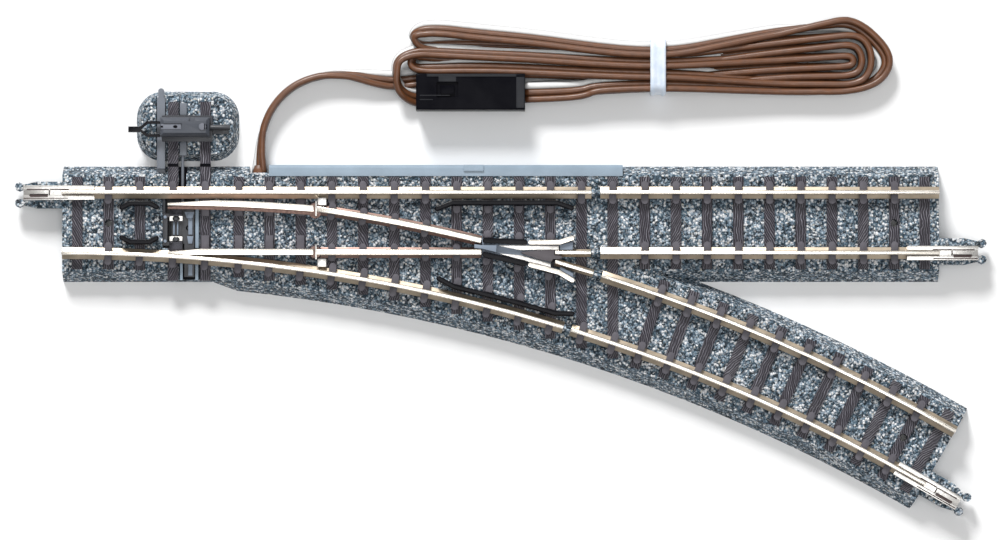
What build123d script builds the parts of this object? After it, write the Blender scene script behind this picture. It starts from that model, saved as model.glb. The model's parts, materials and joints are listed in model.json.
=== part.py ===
from build123d import *

import os
from math import asin, cos, degrees, pi, radians, sin, sqrt, tan

# Model turnout switch: an N gauge (9 mm) right-hand electric turnout on a moulded
# roadbed, with its point machine, built-in solenoid drive and coiled lead.
# Origin: the toe end of the straight route's centreline, on the surface it stands on.
# +X runs along the straight route, +Y away from the diverging route, +Z up.
os.makedirs("parts", exist_ok=True)

# ---------------------------------------------------------------- driving dimensions (mm)
GAUGE = 9.0
ROUTE_LENGTH = 140.0
CURVE_RADIUS = 280.0
CURVE_ANGLE = 30.0

RAIL_HEIGHT = 2.0
RAIL_HEAD = 0.65
RAIL_FOOT = 1.9
CLOSURE_HEAD = 0.95
CLOSURE_FOOT = 1.7
POINT_FOOT = 1.2
WEB_WIDTH = 0.4

BED_BASE_HALF = 9.25
BED_TOP_HALF = 7.7
BED_TOP = 3.7
BED_CEILING = 2.8
BED_WALL = 0.95
SWITCH_BULGE = (23.9, 27.8)

SLEEPER_BOTTOM = 3.2
SLEEPER_TOP = 4.0
SLEEPER_WIDTH = 1.68
SLEEPER_HALF = 7.4
SLEEPER_PITCH = 4.98
SLEEPER_BEYOND_RAIL = 2.4
WEB_BAR_WIDTH = 1.2
CHAIR_WIDTH = 1.15
CHAIR_REACH = 1.85
CLOSURE_CHAIR_REACH = 1.45
CHAIR_TOP = 0.95

THROW = 1.3
PLUNGER_TRAVEL = 1.2
BLADE_TIP_X = 17.0
HEEL_X = 40.4
BLADE_BOTTOM = 4.6
BLADE_TOP = 5.95
TAB_PIN_X = 18.2
HEEL_PIN = 0.8
HEEL_BORE = 0.9
HEEL_PAD = 1.3

FROG_X = 66.9
BAR_TOP = 3.85
BAR_BOTTOM = 2.95
CRANK_PIVOT = (25.7, -0.8)
CRANK_LINK_ARM = 5.0

DRIVE_START = 33.0
DRIVE_END = 89.5
DRIVE_BACK = 9.3
DRIVE_FRONT = 0.9
DRIVE_STRIP_TOP = 3.95
COVER_THICKNESS = 0.5
PLUNGER_Y = CRANK_PIVOT[1] + CRANK_LINK_ARM
PLUNGER_BOTTOM = 1.3
PLUNGER_TOP = 1.9

ISLAND_CENTRE = (19.9, 15.7)
ISLAND_SIZE = (16.4, 11.15)
MACHINE_Y = 15.2
LEVER_X = 15.75
LEVER_WIDTH = 1.3

LEAD_DIAMETER = 2.8
LEAD_EXIT = (31.4, 8.1, 1.5)
HANK_HEIGHT = 3.8
TIE_X = (94.0, 96.4)
CONNECTOR_START = 56.5
CONNECTOR_LENGTH = 17.4
CONNECTOR_Y = 20.9
CONNECTOR_WIDTH = 5.8
CONNECTOR_BOTTOM = 1.3
CONNECTOR_HEIGHT = 4.6

# ---------------------------------------------------------------- derived dimensions
RAIL_TOP = SLEEPER_TOP + RAIL_HEIGHT
RAIL_Y = GAUGE / 2 + RAIL_HEAD / 2
OUTER_RADIUS = CURVE_RADIUS + RAIL_Y
INNER_RADIUS = CURVE_RADIUS - RAIL_Y
CLOSURE_RADIUS = OUTER_RADIUS + 0.25
CLOSURE_Y = -RAIL_Y + 0.075
HEEL_STRAIGHT_Y = -4.7
THROW_ANGLE = degrees(asin(PLUNGER_TRAVEL / CRANK_LINK_ARM))
CRANK_THROW_ARM = THROW / sin(radians(THROW_ANGLE))
BLADE_ANGLE = degrees(asin(THROW / (HEEL_X - TAB_PIN_X)))
CURVE_AXIS = Axis((0, -CURVE_RADIUS, 0), (0, 0, -1))


def curve_y(radius, x):
    """Y of the arc of this radius about the diverging route's centre."""
    return -CURVE_RADIUS + sqrt(radius**2 - x**2)


def curve_angle(radius, x):
    """Degrees along the diverging route where the arc of this radius passes x."""
    return degrees(asin(x / radius))


def on_curve(radius, angle):
    """Point of the arc of this radius, this many degrees along the diverging route."""
    return (radius * sin(radians(angle)), -CURVE_RADIUS + radius * cos(radians(angle)))


def curve_plane(angle):
    """Plane across the diverging route: local x is the radius, local y is the height."""
    outward = (sin(radians(angle)), cos(radians(angle)), 0)
    along = (cos(radians(angle)), -sin(radians(angle)), 0)
    return Plane(origin=(0, -CURVE_RADIUS, 0), x_dir=outward, z_dir=along)


HEEL_CURVED_Y = curve_y(CLOSURE_RADIUS, HEEL_X)


# ---------------------------------------------------------------- shared shapes
def rail_profile(head, foot):
    """Section of a flat-bottom rail: foot, web and head, mirrored about the web."""
    right = [
        (foot / 2, 0),
        (foot / 2, 0.3),
        (WEB_WIDTH / 2, 0.55),
        (WEB_WIDTH / 2, 1.4),
        (head / 2, 1.55),
        (head / 2, RAIL_HEIGHT - 0.12),
        (head / 2 - 0.12, RAIL_HEIGHT),
    ]
    return right + [(-x, z) for x, z in reversed(right)]


def straight_rail(y, start, end, head=RAIL_HEAD, foot=RAIL_FOOT):
    """Rail parallel to the straight route."""
    with BuildPart() as made:
        with BuildSketch(Plane.YZ.offset(start)):
            with Locations((y, SLEEPER_TOP)):
                Polygon(*rail_profile(head, foot), align=None)
        extrude(amount=end - start)
    return made.part


def curved_rail(radius, start, end, head=RAIL_HEAD, foot=RAIL_FOOT):
    """Rail on the diverging route, between two angles."""
    with BuildPart() as made:
        with BuildSketch(curve_plane(start)):
            with Locations((radius, SLEEPER_TOP)):
                Polygon(*rail_profile(head, foot), align=None)
        revolve(axis=CURVE_AXIS, revolution_arc=end - start)
    return made.part


def curved_bar(radius, start, end, width, bottom, top):
    """Rectangular bar on the diverging route, between two angles."""
    with BuildPart() as made:
        with BuildSketch(curve_plane(start)):
            with Locations((radius, (bottom + top) / 2)):
                Rectangle(width, top - bottom)
        revolve(axis=CURVE_AXIS, revolution_arc=end - start)
    return made.part


def block(x0, x1, y0, y1, z0, z1):
    """Box between two corners."""
    with BuildPart() as made:
        with BuildSketch(Plane.XY.offset(z0)):
            with Locations(((x0 + x1) / 2, (y0 + y1) / 2)):
                Rectangle(abs(x1 - x0), abs(y1 - y0))
        extrude(amount=z1 - z0)
    return made.part


def strip(points, width, bottom, top):
    """Upright strip of one width along a bent line, with round ends."""
    with BuildPart() as made:
        with BuildSketch(Plane.XY.offset(bottom)):
            with BuildLine():
                Polyline(*points)
                offset(amount=width / 2)
            make_face()
        extrude(amount=top - bottom)
    return made.part


def prism(points, bottom, top):
    """Upright prism on a polygon."""
    with BuildPart() as made:
        with BuildSketch(Plane.XY.offset(bottom)):
            Polygon(*points, align=None)
        extrude(amount=top - bottom)
    return made.part


def post(x, y, radius, bottom, top):
    """Upright round post."""
    with BuildPart() as made:
        with BuildSketch(Plane.XY.offset(bottom)):
            with Locations((x, y)):
                Circle(radius)
        extrude(amount=top - bottom)
    return made.part


def finish(builder, name):
    """Labels one finished sub-part and writes it as its own STEP file."""
    builder.part.label = name
    export_step(builder.part, f"parts/{name}.step")


# ---------------------------------------------------------------- sleeper layout
END_SLEEPERS = (2.4, 137.7)
SWITCH_SLEEPERS = [7.4, 12.4, 17.7, 22.85, 28.2] + [
    33.1 + SLEEPER_PITCH * step for step in range(12)
]
STRAIGHT_SLEEPERS = [93.0 + SLEEPER_PITCH * step for step in range(9)]
CURVE_SLEEPERS = [19.57 + 1.008 * step for step in range(10)]
LAST_CURVE_SLEEPER = 29.53
ISLAND_SLEEPERS = (17.7, 22.85)
ISLAND_SLEEPER_END = 19.4
THROW_SLEEPER_HALF = 9.2
THROW_GAP = (18.6, 21.95)
THROW_GAP_HALF = 4.0
NAIL_HOLE = 1.2
NAIL_HOLES = [(7.4, 0), (STRAIGHT_SLEEPERS[8], 0), on_curve(CURVE_RADIUS, CURVE_SLEEPERS[9])]


def draw_sleeper(x, low, high):
    """One sleeper square to the straight route."""
    with Locations((x, (low + high) / 2)):
        Rectangle(SLEEPER_WIDTH, high - low)


def sleeper_foot(x):
    """Lower end of a sleeper that carries both routes, or runs out beside the throw bar."""
    if x in ISLAND_SLEEPERS:
        return -THROW_SLEEPER_HALF
    return min(-SLEEPER_HALF, curve_y(INNER_RADIUS, x) - SLEEPER_BEYOND_RAIL)


def draw_switch_sleepers():
    draw_sleeper(END_SLEEPERS[0], -SLEEPER_HALF, SLEEPER_HALF)
    for x in SWITCH_SLEEPERS:
        top = ISLAND_SLEEPER_END if x in ISLAND_SLEEPERS else SLEEPER_HALF
        if x == ISLAND_SLEEPERS[0]:
            draw_sleeper(x, sleeper_foot(x), -THROW_GAP_HALF)
            draw_sleeper(x, THROW_GAP_HALF, top)
        else:
            draw_sleeper(x, sleeper_foot(x), top)
    with Locations((HEEL_X, HEEL_CURVED_Y), (HEEL_X, HEEL_STRAIGHT_Y)):
        Circle(HEEL_PAD)


def draw_straight_sleepers():
    for x in STRAIGHT_SLEEPERS + [END_SLEEPERS[1]]:
        draw_sleeper(x, -SLEEPER_HALF, SLEEPER_HALF)


def draw_curve_sleepers():
    for angle in CURVE_SLEEPERS + [LAST_CURVE_SLEEPER]:
        x, y = on_curve(CURVE_RADIUS, angle)
        with Locations(Location((x, y), -angle)):
            Rectangle(SLEEPER_WIDTH, 2 * SLEEPER_HALF)


def draw_web(y, start, end):
    with Locations(((start + end) / 2, y)):
        Rectangle(end - start, WEB_BAR_WIDTH)


def chair_spots(rail):
    """Centre and heading of every chair pair along one rail, by rail name."""
    middle = SWITCH_SLEEPERS[6:]
    if rail == "stock_straight":
        return [(x, RAIL_Y, 0) for x in SWITCH_SLEEPERS + STRAIGHT_SLEEPERS]
    if rail == "stock_curved":
        return [
            (x, curve_y(INNER_RADIUS, x), -curve_angle(INNER_RADIUS, x))
            for x in SWITCH_SLEEPERS
        ]
    if rail == "closure_straight":
        return [(x, CLOSURE_Y, 0) for x in middle if HEEL_X < x < 63]
    if rail == "closure_curved":
        return [
            (x, curve_y(CLOSURE_RADIUS, x), -curve_angle(CLOSURE_RADIUS, x))
            for x in middle
            if HEEL_X < x < 60
        ]
    return []


TOE_GUARD_X = (9.2, 15.5)
LONG_GUARD_X = (59.5, 81.7)
BLADE_ZONE_END = 40.0


def keeps_inner_chair(x):
    """False where a check rail or a blade takes the place of the chairs inside a rail."""
    at_toe_guard = TOE_GUARD_X[0] < x < TOE_GUARD_X[1]
    at_blade = BLADE_TIP_X < x < BLADE_ZONE_END
    at_long_guard = LONG_GUARD_X[0] < x < LONG_GUARD_X[1]
    return not (at_toe_guard or at_blade or at_long_guard)


def draw_chair(x, y, heading, inner, outer, side):
    """One chair's plan, round-ended, between two distances from the rail's centre."""
    half = CHAIR_WIDTH / 2
    round_centre = outer - half
    rim = [
        (half * cos(radians(turn)), round_centre + half * sin(radians(turn)))
        for turn in range(0, 181, 30)
    ]
    plan = [(half, inner), *rim, (-half, inner)]
    with Locations(Location((x, y), heading)):
        Polygon(*[(u, side * v) for u, v in plan], align=None)


def draw_chairs(spots, inner, inside_sign, reach=CHAIR_REACH):
    """Both chairs at each spot, less those that a check rail replaces."""
    for x, y, heading in spots:
        for side in (-1, 1):
            if side == inside_sign and not keeps_inner_chair(x):
                continue
            draw_chair(x, y, heading, inner, reach, side)


def chair_layers(foot):
    """Distance from the rail's centre, bottom and top of a chair's two steps."""
    knee = SLEEPER_TOP + 0.55
    return ((foot / 2, SLEEPER_TOP, knee), (RAIL_HEAD / 2, knee, SLEEPER_TOP + CHAIR_TOP))


# ---------------------------------------------------------------- roadbed
def bed_face(half, inset, height):
    """Plan of the roadbed at one height, from its half width there."""
    end_angle = CURVE_ANGLE - degrees(inset / CURVE_RADIUS)
    outer = CURVE_RADIUS + half
    inner = CURVE_RADIUS - half
    notch_x = sqrt(outer**2 - inner**2)
    notch_angle = curve_angle(outer, notch_x)
    far_outer = on_curve(outer, end_angle)
    far_inner = on_curve(inner, end_angle)
    bulge_x = SWITCH_BULGE[1]
    bulge = (bulge_x, curve_y(inner, bulge_x))
    bulge_angle = curve_angle(inner, bulge_x)
    with BuildSketch(Plane.XY.offset(height)) as face:
        with BuildLine():
            Line((inset, half), (ROUTE_LENGTH - inset, half))
            Line((ROUTE_LENGTH - inset, half), (ROUTE_LENGTH - inset, -half))
            Line((ROUTE_LENGTH - inset, -half), (notch_x, -half))
            ThreePointArc(
                (notch_x, -half), on_curve(outer, (notch_angle + end_angle) / 2), far_outer
            )
            Line(far_outer, far_inner)
            ThreePointArc(far_inner, on_curve(inner, (bulge_angle + end_angle) / 2), bulge)
            Line(bulge, (SWITCH_BULGE[0], -half))
            Line((SWITCH_BULGE[0], -half), (inset, -half))
            Line((inset, -half), (inset, half))
        make_face()
    return face.sketch.face()


JOINER_LENGTH = 11.4
JOINER_ON_RAIL = 5.2
JOINER_HALF = 1.15
JOINER_FLOOR = 3.8
PRONG_PAIR_SHIFT = 0.3
PRONG_OUTLINE = [(-0.8, 0.85), (-0.8, 2.1), (4.1, 2.1), (6.5, 1.55), (6.5, 1.0), (1.0, 0.85)]
PRONG_BULB_CENTRE = (6.9, 1.3)
PRONG_BULB = 0.7
PRONG_Z = (1.6, 3.6)


def prong(x, y, heading, side):
    """Springy tapered tongue with a bulb, which clips under the next piece of track."""
    with BuildPart() as made:
        with BuildSketch(Plane.XY.offset(PRONG_Z[0])):
            with Locations(Location((x, y), heading) * Location((0, PRONG_PAIR_SHIFT))):
                Polygon(*[(u, side * v) for u, v in PRONG_OUTLINE], align=None)
                bulb_u, bulb_v = PRONG_BULB_CENTRE
                with Locations((bulb_u, side * bulb_v)):
                    RegularPolygon(PRONG_BULB, 8)
        extrude(amount=PRONG_Z[1] - PRONG_Z[0])
    return made.part


END_X, END_Y = on_curve(INNER_RADIUS, CURVE_ANGLE)
# Where each joined rail ends, and the heading in which its joiner points outward.
RAIL_ENDS = {
    "toe": (0.0, RAIL_Y, 180.0),
    "straight": (ROUTE_LENGTH, -RAIL_Y, 0.0),
    "diverging": (END_X, END_Y, -CURVE_ANGLE),
}


def joiner_plan(end, inward, outward, half):
    """Rectangle along a rail end, from inside the bed to outside."""
    x, y, heading = RAIL_ENDS[end]
    with Locations(Location((x, y), heading)):
        with Locations(((outward - inward) / 2, 0)):
            Rectangle(inward + outward, 2 * half)


GUARD_RADIUS = 276.9
GUARD_Y = 3.15
# Distances from a check rail's or wing rail's centre that a chair beside it covers.
GUARD_CHAIR = (0.5, 1.65)
WING_CHAIRS = [(67.96, -2.85), (72.94, -3.13), (77.92, -3.15)]
DIVERGING_WING_CHAIRS = [(67.96, -5.2), (72.94, -6.32), (77.92, -7.6)]
NAIL_BOSS_RADIUS = 1.6
LEVER_NOTCH_X = (14.95, 16.55)
CORD_NOTCH = (29.8, 33.0)
COVER_POSTS = [(11.5, 6.4), (11.5, -6.4), (28.0, 6.6), (28.0, -6.4)]
COVER_POST_RADIUS = 0.9
SCREW_RADIUS = 0.4

with BuildPart() as roadbed:
    loft(
        sections=[bed_face(BED_BASE_HALF, 0, 0), bed_face(BED_TOP_HALF, 0, BED_TOP)],
        ruled=True,
    )
    loft(
        sections=[
            bed_face(BED_BASE_HALF - BED_WALL, BED_WALL, 0),
            bed_face(BED_BASE_HALF - BED_WALL - 1.2, BED_WALL, BED_CEILING),
        ],
        ruled=True,
        mode=Mode.SUBTRACT,
    )
    for end, (rail_x, rail_y, heading) in RAIL_ENDS.items():
        for side in (-1, 1):
            add(prong(rail_x, rail_y, heading, side))
    # Cheeks that carry the two long sleepers out to the front edge.
    for x in ISLAND_SLEEPERS:
        add(block(x - 0.84, x + 0.84, -THROW_SLEEPER_HALF, -7.6, 0, BED_TOP))
    for nail_x, nail_y in NAIL_HOLES:
        add(post(nail_x, nail_y, NAIL_BOSS_RADIUS, COVER_THICKNESS, BED_CEILING))
    for post_x, post_y in COVER_POSTS:
        add(post(post_x, post_y, COVER_POST_RADIUS, COVER_THICKNESS, BED_CEILING))
    # Stiffening ribs under both legs.
    for rib_x in (104.0, 117.0):
        add(block(rib_x, rib_x + 0.8, -7.2, 7.2, 0.4, BED_CEILING))
    for rib_angle in (23.2, 26.0):
        add(curved_bar(CURVE_RADIUS, rib_angle, rib_angle + 0.16, 14.4, 0.4, BED_CEILING))
    # The drive unit takes the place of the back shoulder, and the lead leaves beside it.
    add(block(DRIVE_START, DRIVE_END, 7.5, 12, -1, 5), mode=Mode.SUBTRACT)
    add(block(DRIVE_START, DRIVE_END, 6.5, 12, -1, BED_CEILING), mode=Mode.SUBTRACT)
    add(block(*CORD_NOTCH, 6.9, 12, -1, 5), mode=Mode.SUBTRACT)
    # Throw bar opening, its slots through both shoulders and the lever's notch.
    add(block(16.0, THROW_GAP[1], -THROW_GAP_HALF, THROW_GAP_HALF, 1, 5), mode=Mode.SUBTRACT)
    add(block(*THROW_GAP, -12, 5.2, BED_CEILING - 0.1, 5), mode=Mode.SUBTRACT)
    add(block(THROW_GAP[0], 19.8, 5, 12, BED_CEILING, 5), mode=Mode.SUBTRACT)
    add(block(*LEVER_NOTCH_X, 8.5, 12, 1.6, 5), mode=Mode.SUBTRACT)
    add(block(*LEVER_NOTCH_X, 6.5, 12, 1.6, BED_CEILING), mode=Mode.SUBTRACT)
    with BuildSketch(Plane.XY.offset(SLEEPER_BOTTOM)):
        draw_switch_sleepers()
        draw_straight_sleepers()
        draw_curve_sleepers()
        draw_web(RAIL_Y, END_SLEEPERS[0], END_SLEEPERS[1])
        draw_web(-RAIL_Y, STRAIGHT_SLEEPERS[0], END_SLEEPERS[1])
        draw_web(CLOSURE_Y, HEEL_X, SWITCH_SLEEPERS[-1])
    extrude(amount=2, mode=Mode.SUBTRACT)
    with BuildSketch(Plane.XY.offset(JOINER_FLOOR - 0.1)):
        for end in RAIL_ENDS:
            joiner_plan(end, JOINER_ON_RAIL + 0.1, 0.1, JOINER_HALF + 0.1)
    extrude(amount=2, mode=Mode.SUBTRACT)
    for radius, first in ((INNER_RADIUS, 0.5), (OUTER_RADIUS, curve_angle(OUTER_RADIUS, HEEL_X))):
        room = (WEB_BAR_WIDTH, SLEEPER_BOTTOM, BED_TOP + 1)
        add(curved_bar(radius, first, LAST_CURVE_SLEEPER, *room), mode=Mode.SUBTRACT)
    with Locations(*[(x, y, SLEEPER_TOP) for x, y in NAIL_HOLES]):
        Hole(NAIL_HOLE / 2, depth=SLEEPER_TOP)
    for post_x, post_y in COVER_POSTS:
        add(post(post_x, post_y, SCREW_RADIUS, 0, 2.4), mode=Mode.SUBTRACT)

finish(roadbed, "roadbed")

# ---------------------------------------------------------------- sleeper mouldings
with BuildPart() as sleepers_switch:
    with BuildSketch(Plane.XY.offset(SLEEPER_BOTTOM)):
        draw_switch_sleepers()
    extrude(amount=SLEEPER_TOP - SLEEPER_BOTTOM)
    with BuildSketch(Plane.XY.offset(SLEEPER_BOTTOM)):
        draw_web(RAIL_Y, END_SLEEPERS[0], SWITCH_SLEEPERS[2])
        draw_web(RAIL_Y, SWITCH_SLEEPERS[3], SWITCH_SLEEPERS[-1])
        draw_web(CLOSURE_Y, HEEL_X, SWITCH_SLEEPERS[-1])
    extrude(amount=BED_TOP - SLEEPER_BOTTOM)
    for radius, first, last in (
        (INNER_RADIUS, 0.5, curve_angle(INNER_RADIUS, SWITCH_SLEEPERS[2])),
        (INNER_RADIUS, curve_angle(INNER_RADIUS, SWITCH_SLEEPERS[3]), 18.6),
        (OUTER_RADIUS, curve_angle(OUTER_RADIUS, HEEL_X), 18.0),
    ):
        add(curved_bar(radius, first, last, WEB_BAR_WIDTH, SLEEPER_BOTTOM, BED_TOP))
    # Slide plates that carry the blades.
    for x in SWITCH_SLEEPERS[3:7]:
        add(block(x - 0.6, x + 0.6, -4.7, -2.0, SLEEPER_TOP, BLADE_BOTTOM - 0.05))
        add(block(x - 0.6, x + 0.6, 1.1, 3.75, SLEEPER_TOP, BLADE_BOTTOM - 0.05))
    for rail, foot, reach in (
        ("stock_straight", RAIL_FOOT, CHAIR_REACH),
        ("stock_curved", RAIL_FOOT, CHAIR_REACH),
        ("closure_straight", CLOSURE_FOOT, CLOSURE_CHAIR_REACH),
        ("closure_curved", CLOSURE_FOOT, CLOSURE_CHAIR_REACH),
    ):
        spots = [spot for spot in chair_spots(rail) if spot[0] < 90]
        inside = {"stock_straight": -1, "stock_curved": 1}.get(rail, 0)
        for inner, bottom, top in chair_layers(foot):
            with BuildSketch(Plane.XY.offset(bottom)):
                draw_chairs(spots, inner, inside, reach)
            extrude(amount=top - bottom)
    with BuildSketch(Plane.XY.offset(SLEEPER_TOP)):
        for x in [x for x in SWITCH_SLEEPERS if LONG_GUARD_X[0] + 2 < x < LONG_GUARD_X[1] - 2]:
            draw_chair(x, GUARD_Y, 0, *GUARD_CHAIR, -1)
            heading = -curve_angle(GUARD_RADIUS, x)
            draw_chair(x, curve_y(GUARD_RADIUS, x), heading, *GUARD_CHAIR, 1)
        for x, wing_y in WING_CHAIRS:
            draw_chair(x, wing_y, 0, *GUARD_CHAIR, 1)
        for x, wing_y in DIVERGING_WING_CHAIRS:
            draw_chair(x, wing_y, -curve_angle(CURVE_RADIUS, x), *GUARD_CHAIR, -1)
    extrude(amount=CHAIR_TOP)
    # Clearances: throw bar under both rails, joiner floor, nail hole.
    add(block(*THROW_GAP, -12, 12, 1, BED_TOP + 0.05), mode=Mode.SUBTRACT)
    with BuildSketch(Plane.XY.offset(JOINER_FLOOR)):
        joiner_plan("toe", JOINER_ON_RAIL, 0.1, JOINER_HALF)
    extrude(amount=1, mode=Mode.SUBTRACT)
    with Locations((*NAIL_HOLES[0], SLEEPER_TOP)):
        Hole(NAIL_HOLE / 2, depth=2)
finish(sleepers_switch, "sleepers_switch")

with BuildPart() as sleepers_straight:
    with BuildSketch(Plane.XY.offset(SLEEPER_BOTTOM)):
        draw_straight_sleepers()
    extrude(amount=SLEEPER_TOP - SLEEPER_BOTTOM)
    with BuildSketch(Plane.XY.offset(SLEEPER_BOTTOM)):
        draw_web(RAIL_Y, STRAIGHT_SLEEPERS[0], END_SLEEPERS[1])
        draw_web(-RAIL_Y, STRAIGHT_SLEEPERS[0], END_SLEEPERS[1])
    extrude(amount=BED_TOP - SLEEPER_BOTTOM)
    straight_spots = [(x, y, 0) for x in STRAIGHT_SLEEPERS for y in (RAIL_Y, -RAIL_Y)]
    for inner, bottom, top in chair_layers(RAIL_FOOT):
        with BuildSketch(Plane.XY.offset(bottom)):
            draw_chairs(straight_spots, inner, 0)
        extrude(amount=top - bottom)
    with BuildSketch(Plane.XY.offset(JOINER_FLOOR)):
        joiner_plan("straight", JOINER_ON_RAIL, 0.1, JOINER_HALF)
    extrude(amount=1.2, mode=Mode.SUBTRACT)
    with Locations((*NAIL_HOLES[1], SLEEPER_TOP)):
        Hole(NAIL_HOLE / 2, depth=2)
finish(sleepers_straight, "sleepers_straight")

with BuildPart() as sleepers_diverging:
    with BuildSketch(Plane.XY.offset(SLEEPER_BOTTOM)):
        draw_curve_sleepers()
    extrude(amount=SLEEPER_TOP - SLEEPER_BOTTOM)
    for radius in (INNER_RADIUS, OUTER_RADIUS):
        web = (WEB_BAR_WIDTH, SLEEPER_BOTTOM, BED_TOP)
        add(curved_bar(radius, CURVE_SLEEPERS[0], LAST_CURVE_SLEEPER, *web))
    curve_spots = [
        (*on_curve(radius, angle), -angle)
        for angle in CURVE_SLEEPERS
        for radius in (INNER_RADIUS, OUTER_RADIUS)
    ]
    for inner, bottom, top in chair_layers(RAIL_FOOT):
        with BuildSketch(Plane.XY.offset(bottom)):
            draw_chairs(curve_spots, inner, 0)
        extrude(amount=top - bottom)
    with BuildSketch(Plane.XY.offset(JOINER_FLOOR)):
        joiner_plan("diverging", JOINER_ON_RAIL, 0.1, JOINER_HALF)
    extrude(amount=1.2, mode=Mode.SUBTRACT)
    with Locations((*NAIL_HOLES[2], SLEEPER_TOP)):
        Hole(NAIL_HOLE / 2, depth=2)
finish(sleepers_diverging, "sleepers_diverging")

# ---------------------------------------------------------------- fixed rails
STOCK_GAP = (84.5, 85.9)
INNER_GAP = (80.0, 81.2)
POINT_GAP = (84.8, 86.1)
POINT_START = 78.7
# Radius, bottom and top of the room that a closure rail leaves for a blade's heel.
HEEL_RELIEF = (1.1, SLEEPER_TOP - 1, BLADE_BOTTOM + 0.15)

with BuildPart() as stock_rail_straight:
    add(straight_rail(RAIL_Y, 0, STOCK_GAP[0]))
finish(stock_rail_straight, "stock_rail_straight")

with BuildPart() as stock_rail_curved:
    add(curved_rail(INNER_RADIUS, 0, curve_angle(INNER_RADIUS, INNER_GAP[0])))
finish(stock_rail_curved, "stock_rail_curved")

with BuildPart() as exit_rail_straight_back:
    add(straight_rail(RAIL_Y, STOCK_GAP[1], ROUTE_LENGTH))
finish(exit_rail_straight_back, "exit_rail_straight_back")

with BuildPart() as exit_rail_straight_front:
    add(straight_rail(-RAIL_Y, STOCK_GAP[1], ROUTE_LENGTH))
finish(exit_rail_straight_front, "exit_rail_straight_front")

with BuildPart() as exit_rail_diverging_outer:
    add(curved_rail(OUTER_RADIUS, curve_angle(OUTER_RADIUS, POINT_GAP[1]), CURVE_ANGLE))
finish(exit_rail_diverging_outer, "exit_rail_diverging_outer")

with BuildPart() as exit_rail_diverging_inner:
    add(curved_rail(INNER_RADIUS, curve_angle(INNER_RADIUS, INNER_GAP[1]), CURVE_ANGLE))
finish(exit_rail_diverging_inner, "exit_rail_diverging_inner")

with BuildPart() as closure_rail_straight:
    add(straight_rail(CLOSURE_Y, HEEL_X + 0.3, FROG_X, CLOSURE_HEAD, CLOSURE_FOOT))
    add(post(HEEL_X, HEEL_STRAIGHT_Y, *HEEL_RELIEF), mode=Mode.SUBTRACT)
finish(closure_rail_straight, "closure_rail_straight")

with BuildPart() as closure_rail_curved:
    add(
        curved_rail(
            CLOSURE_RADIUS,
            curve_angle(CLOSURE_RADIUS, HEEL_X + 0.3),
            curve_angle(CLOSURE_RADIUS, FROG_X),
            CLOSURE_HEAD,
            CLOSURE_FOOT,
        )
    )
    add(post(HEEL_X, HEEL_CURVED_Y, *HEEL_RELIEF), mode=Mode.SUBTRACT)
finish(closure_rail_curved, "closure_rail_curved")

with BuildPart() as rail_gap_blocks:
    add(straight_rail(RAIL_Y, *STOCK_GAP, foot=POINT_FOOT))
    add(straight_rail(-RAIL_Y, 84.4, STOCK_GAP[1], foot=POINT_FOOT))
    add(
        curved_rail(
            INNER_RADIUS,
            curve_angle(INNER_RADIUS, INNER_GAP[0]),
            curve_angle(INNER_RADIUS, INNER_GAP[1]),
            foot=POINT_FOOT,
        )
    )
    add(
        curved_rail(
            OUTER_RADIUS,
            curve_angle(OUTER_RADIUS, POINT_GAP[0]),
            curve_angle(OUTER_RADIUS, POINT_GAP[1]),
            foot=POINT_FOOT,
        )
    )
finish(rail_gap_blocks, "rail_gap_blocks")

# ---------------------------------------------------------------- frog
FROG_BASE_TOP = 4.6
THROAT_TOP = 5.7

with BuildPart() as frog_base:
    add(
        prism(
            [
                (FROG_X + 0.1, -2.5),
                (73.9, -2.78),
                (79.35, -2.78),
                (81.5, -2.15),
                (81.6, -3.75),
                (78.2, -3.75),
                (78.0, -7.0),
                (81.7, -8.4),
                (81.5, -9.6),
                (79.3, -8.35),
                (74.0, -6.95),
                (FROG_X + 0.1, -5.42),
            ],
            SLEEPER_TOP,
            FROG_BASE_TOP,
        )
    )
    # Raised plate in the throat, reaching back between the ends of the closure rails.
    add(
        prism(
            [
                (65.8, -3.45),
                (67.1, -3.62),
                (69.35, -3.62),
                (69.3, -4.75),
                (67.1, -4.2),
                (65.8, -4.1),
            ],
            FROG_BASE_TOP - 0.1,
            THROAT_TOP,
        )
    )
    # Fillings between the flared ends of the wing rails and the point rails.
    add(
        prism(
            [(79.45, -3.55), (81.5, -3.1), (81.5, -4.35), (79.45, -4.35)],
            FROG_BASE_TOP - 0.1,
            THROAT_TOP - 0.3,
        )
    )
    add(
        prism(
            [(79.5, -7.0), (81.55, -8.1), (81.55, -8.75), (79.5, -7.55)],
            FROG_BASE_TOP - 0.1,
            THROAT_TOP - 0.3,
        )
    )
finish(frog_base, "frog_base")

with BuildPart() as frog_nose:
    add(
        prism(
            [
                (73.3, -4.75),
                (76.0, -4.45),
                (78.6, -4.45),
                (78.6, -5.25),
                (79.5, -5.3),
                (79.9, -5.55),
                (79.4, -5.9),
                (78.35, -5.85),
                (78.1, -6.3),
                (76.0, -5.85),
                (73.4, -4.95),
            ],
            FROG_BASE_TOP,
            RAIL_TOP,
        )
    )
finish(frog_nose, "frog_nose")

with BuildPart() as frog_rail_straight:
    add(straight_rail(-RAIL_Y, POINT_START, 84.4, foot=POINT_FOOT))
finish(frog_rail_straight, "frog_rail_straight")

with BuildPart() as frog_rail_diverging:
    add(
        curved_rail(
            OUTER_RADIUS,
            curve_angle(OUTER_RADIUS, POINT_START),
            curve_angle(OUTER_RADIUS, POINT_GAP[0]),
            foot=POINT_FOOT,
        )
    )
finish(frog_rail_diverging, "frog_rail_diverging")

WING_WIDTH = 0.85
WING_TOP = RAIL_TOP - 0.05
WING_JOINT = 74.3
CONTACT_STRIP_TOP = FROG_BASE_TOP + 0.4

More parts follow.
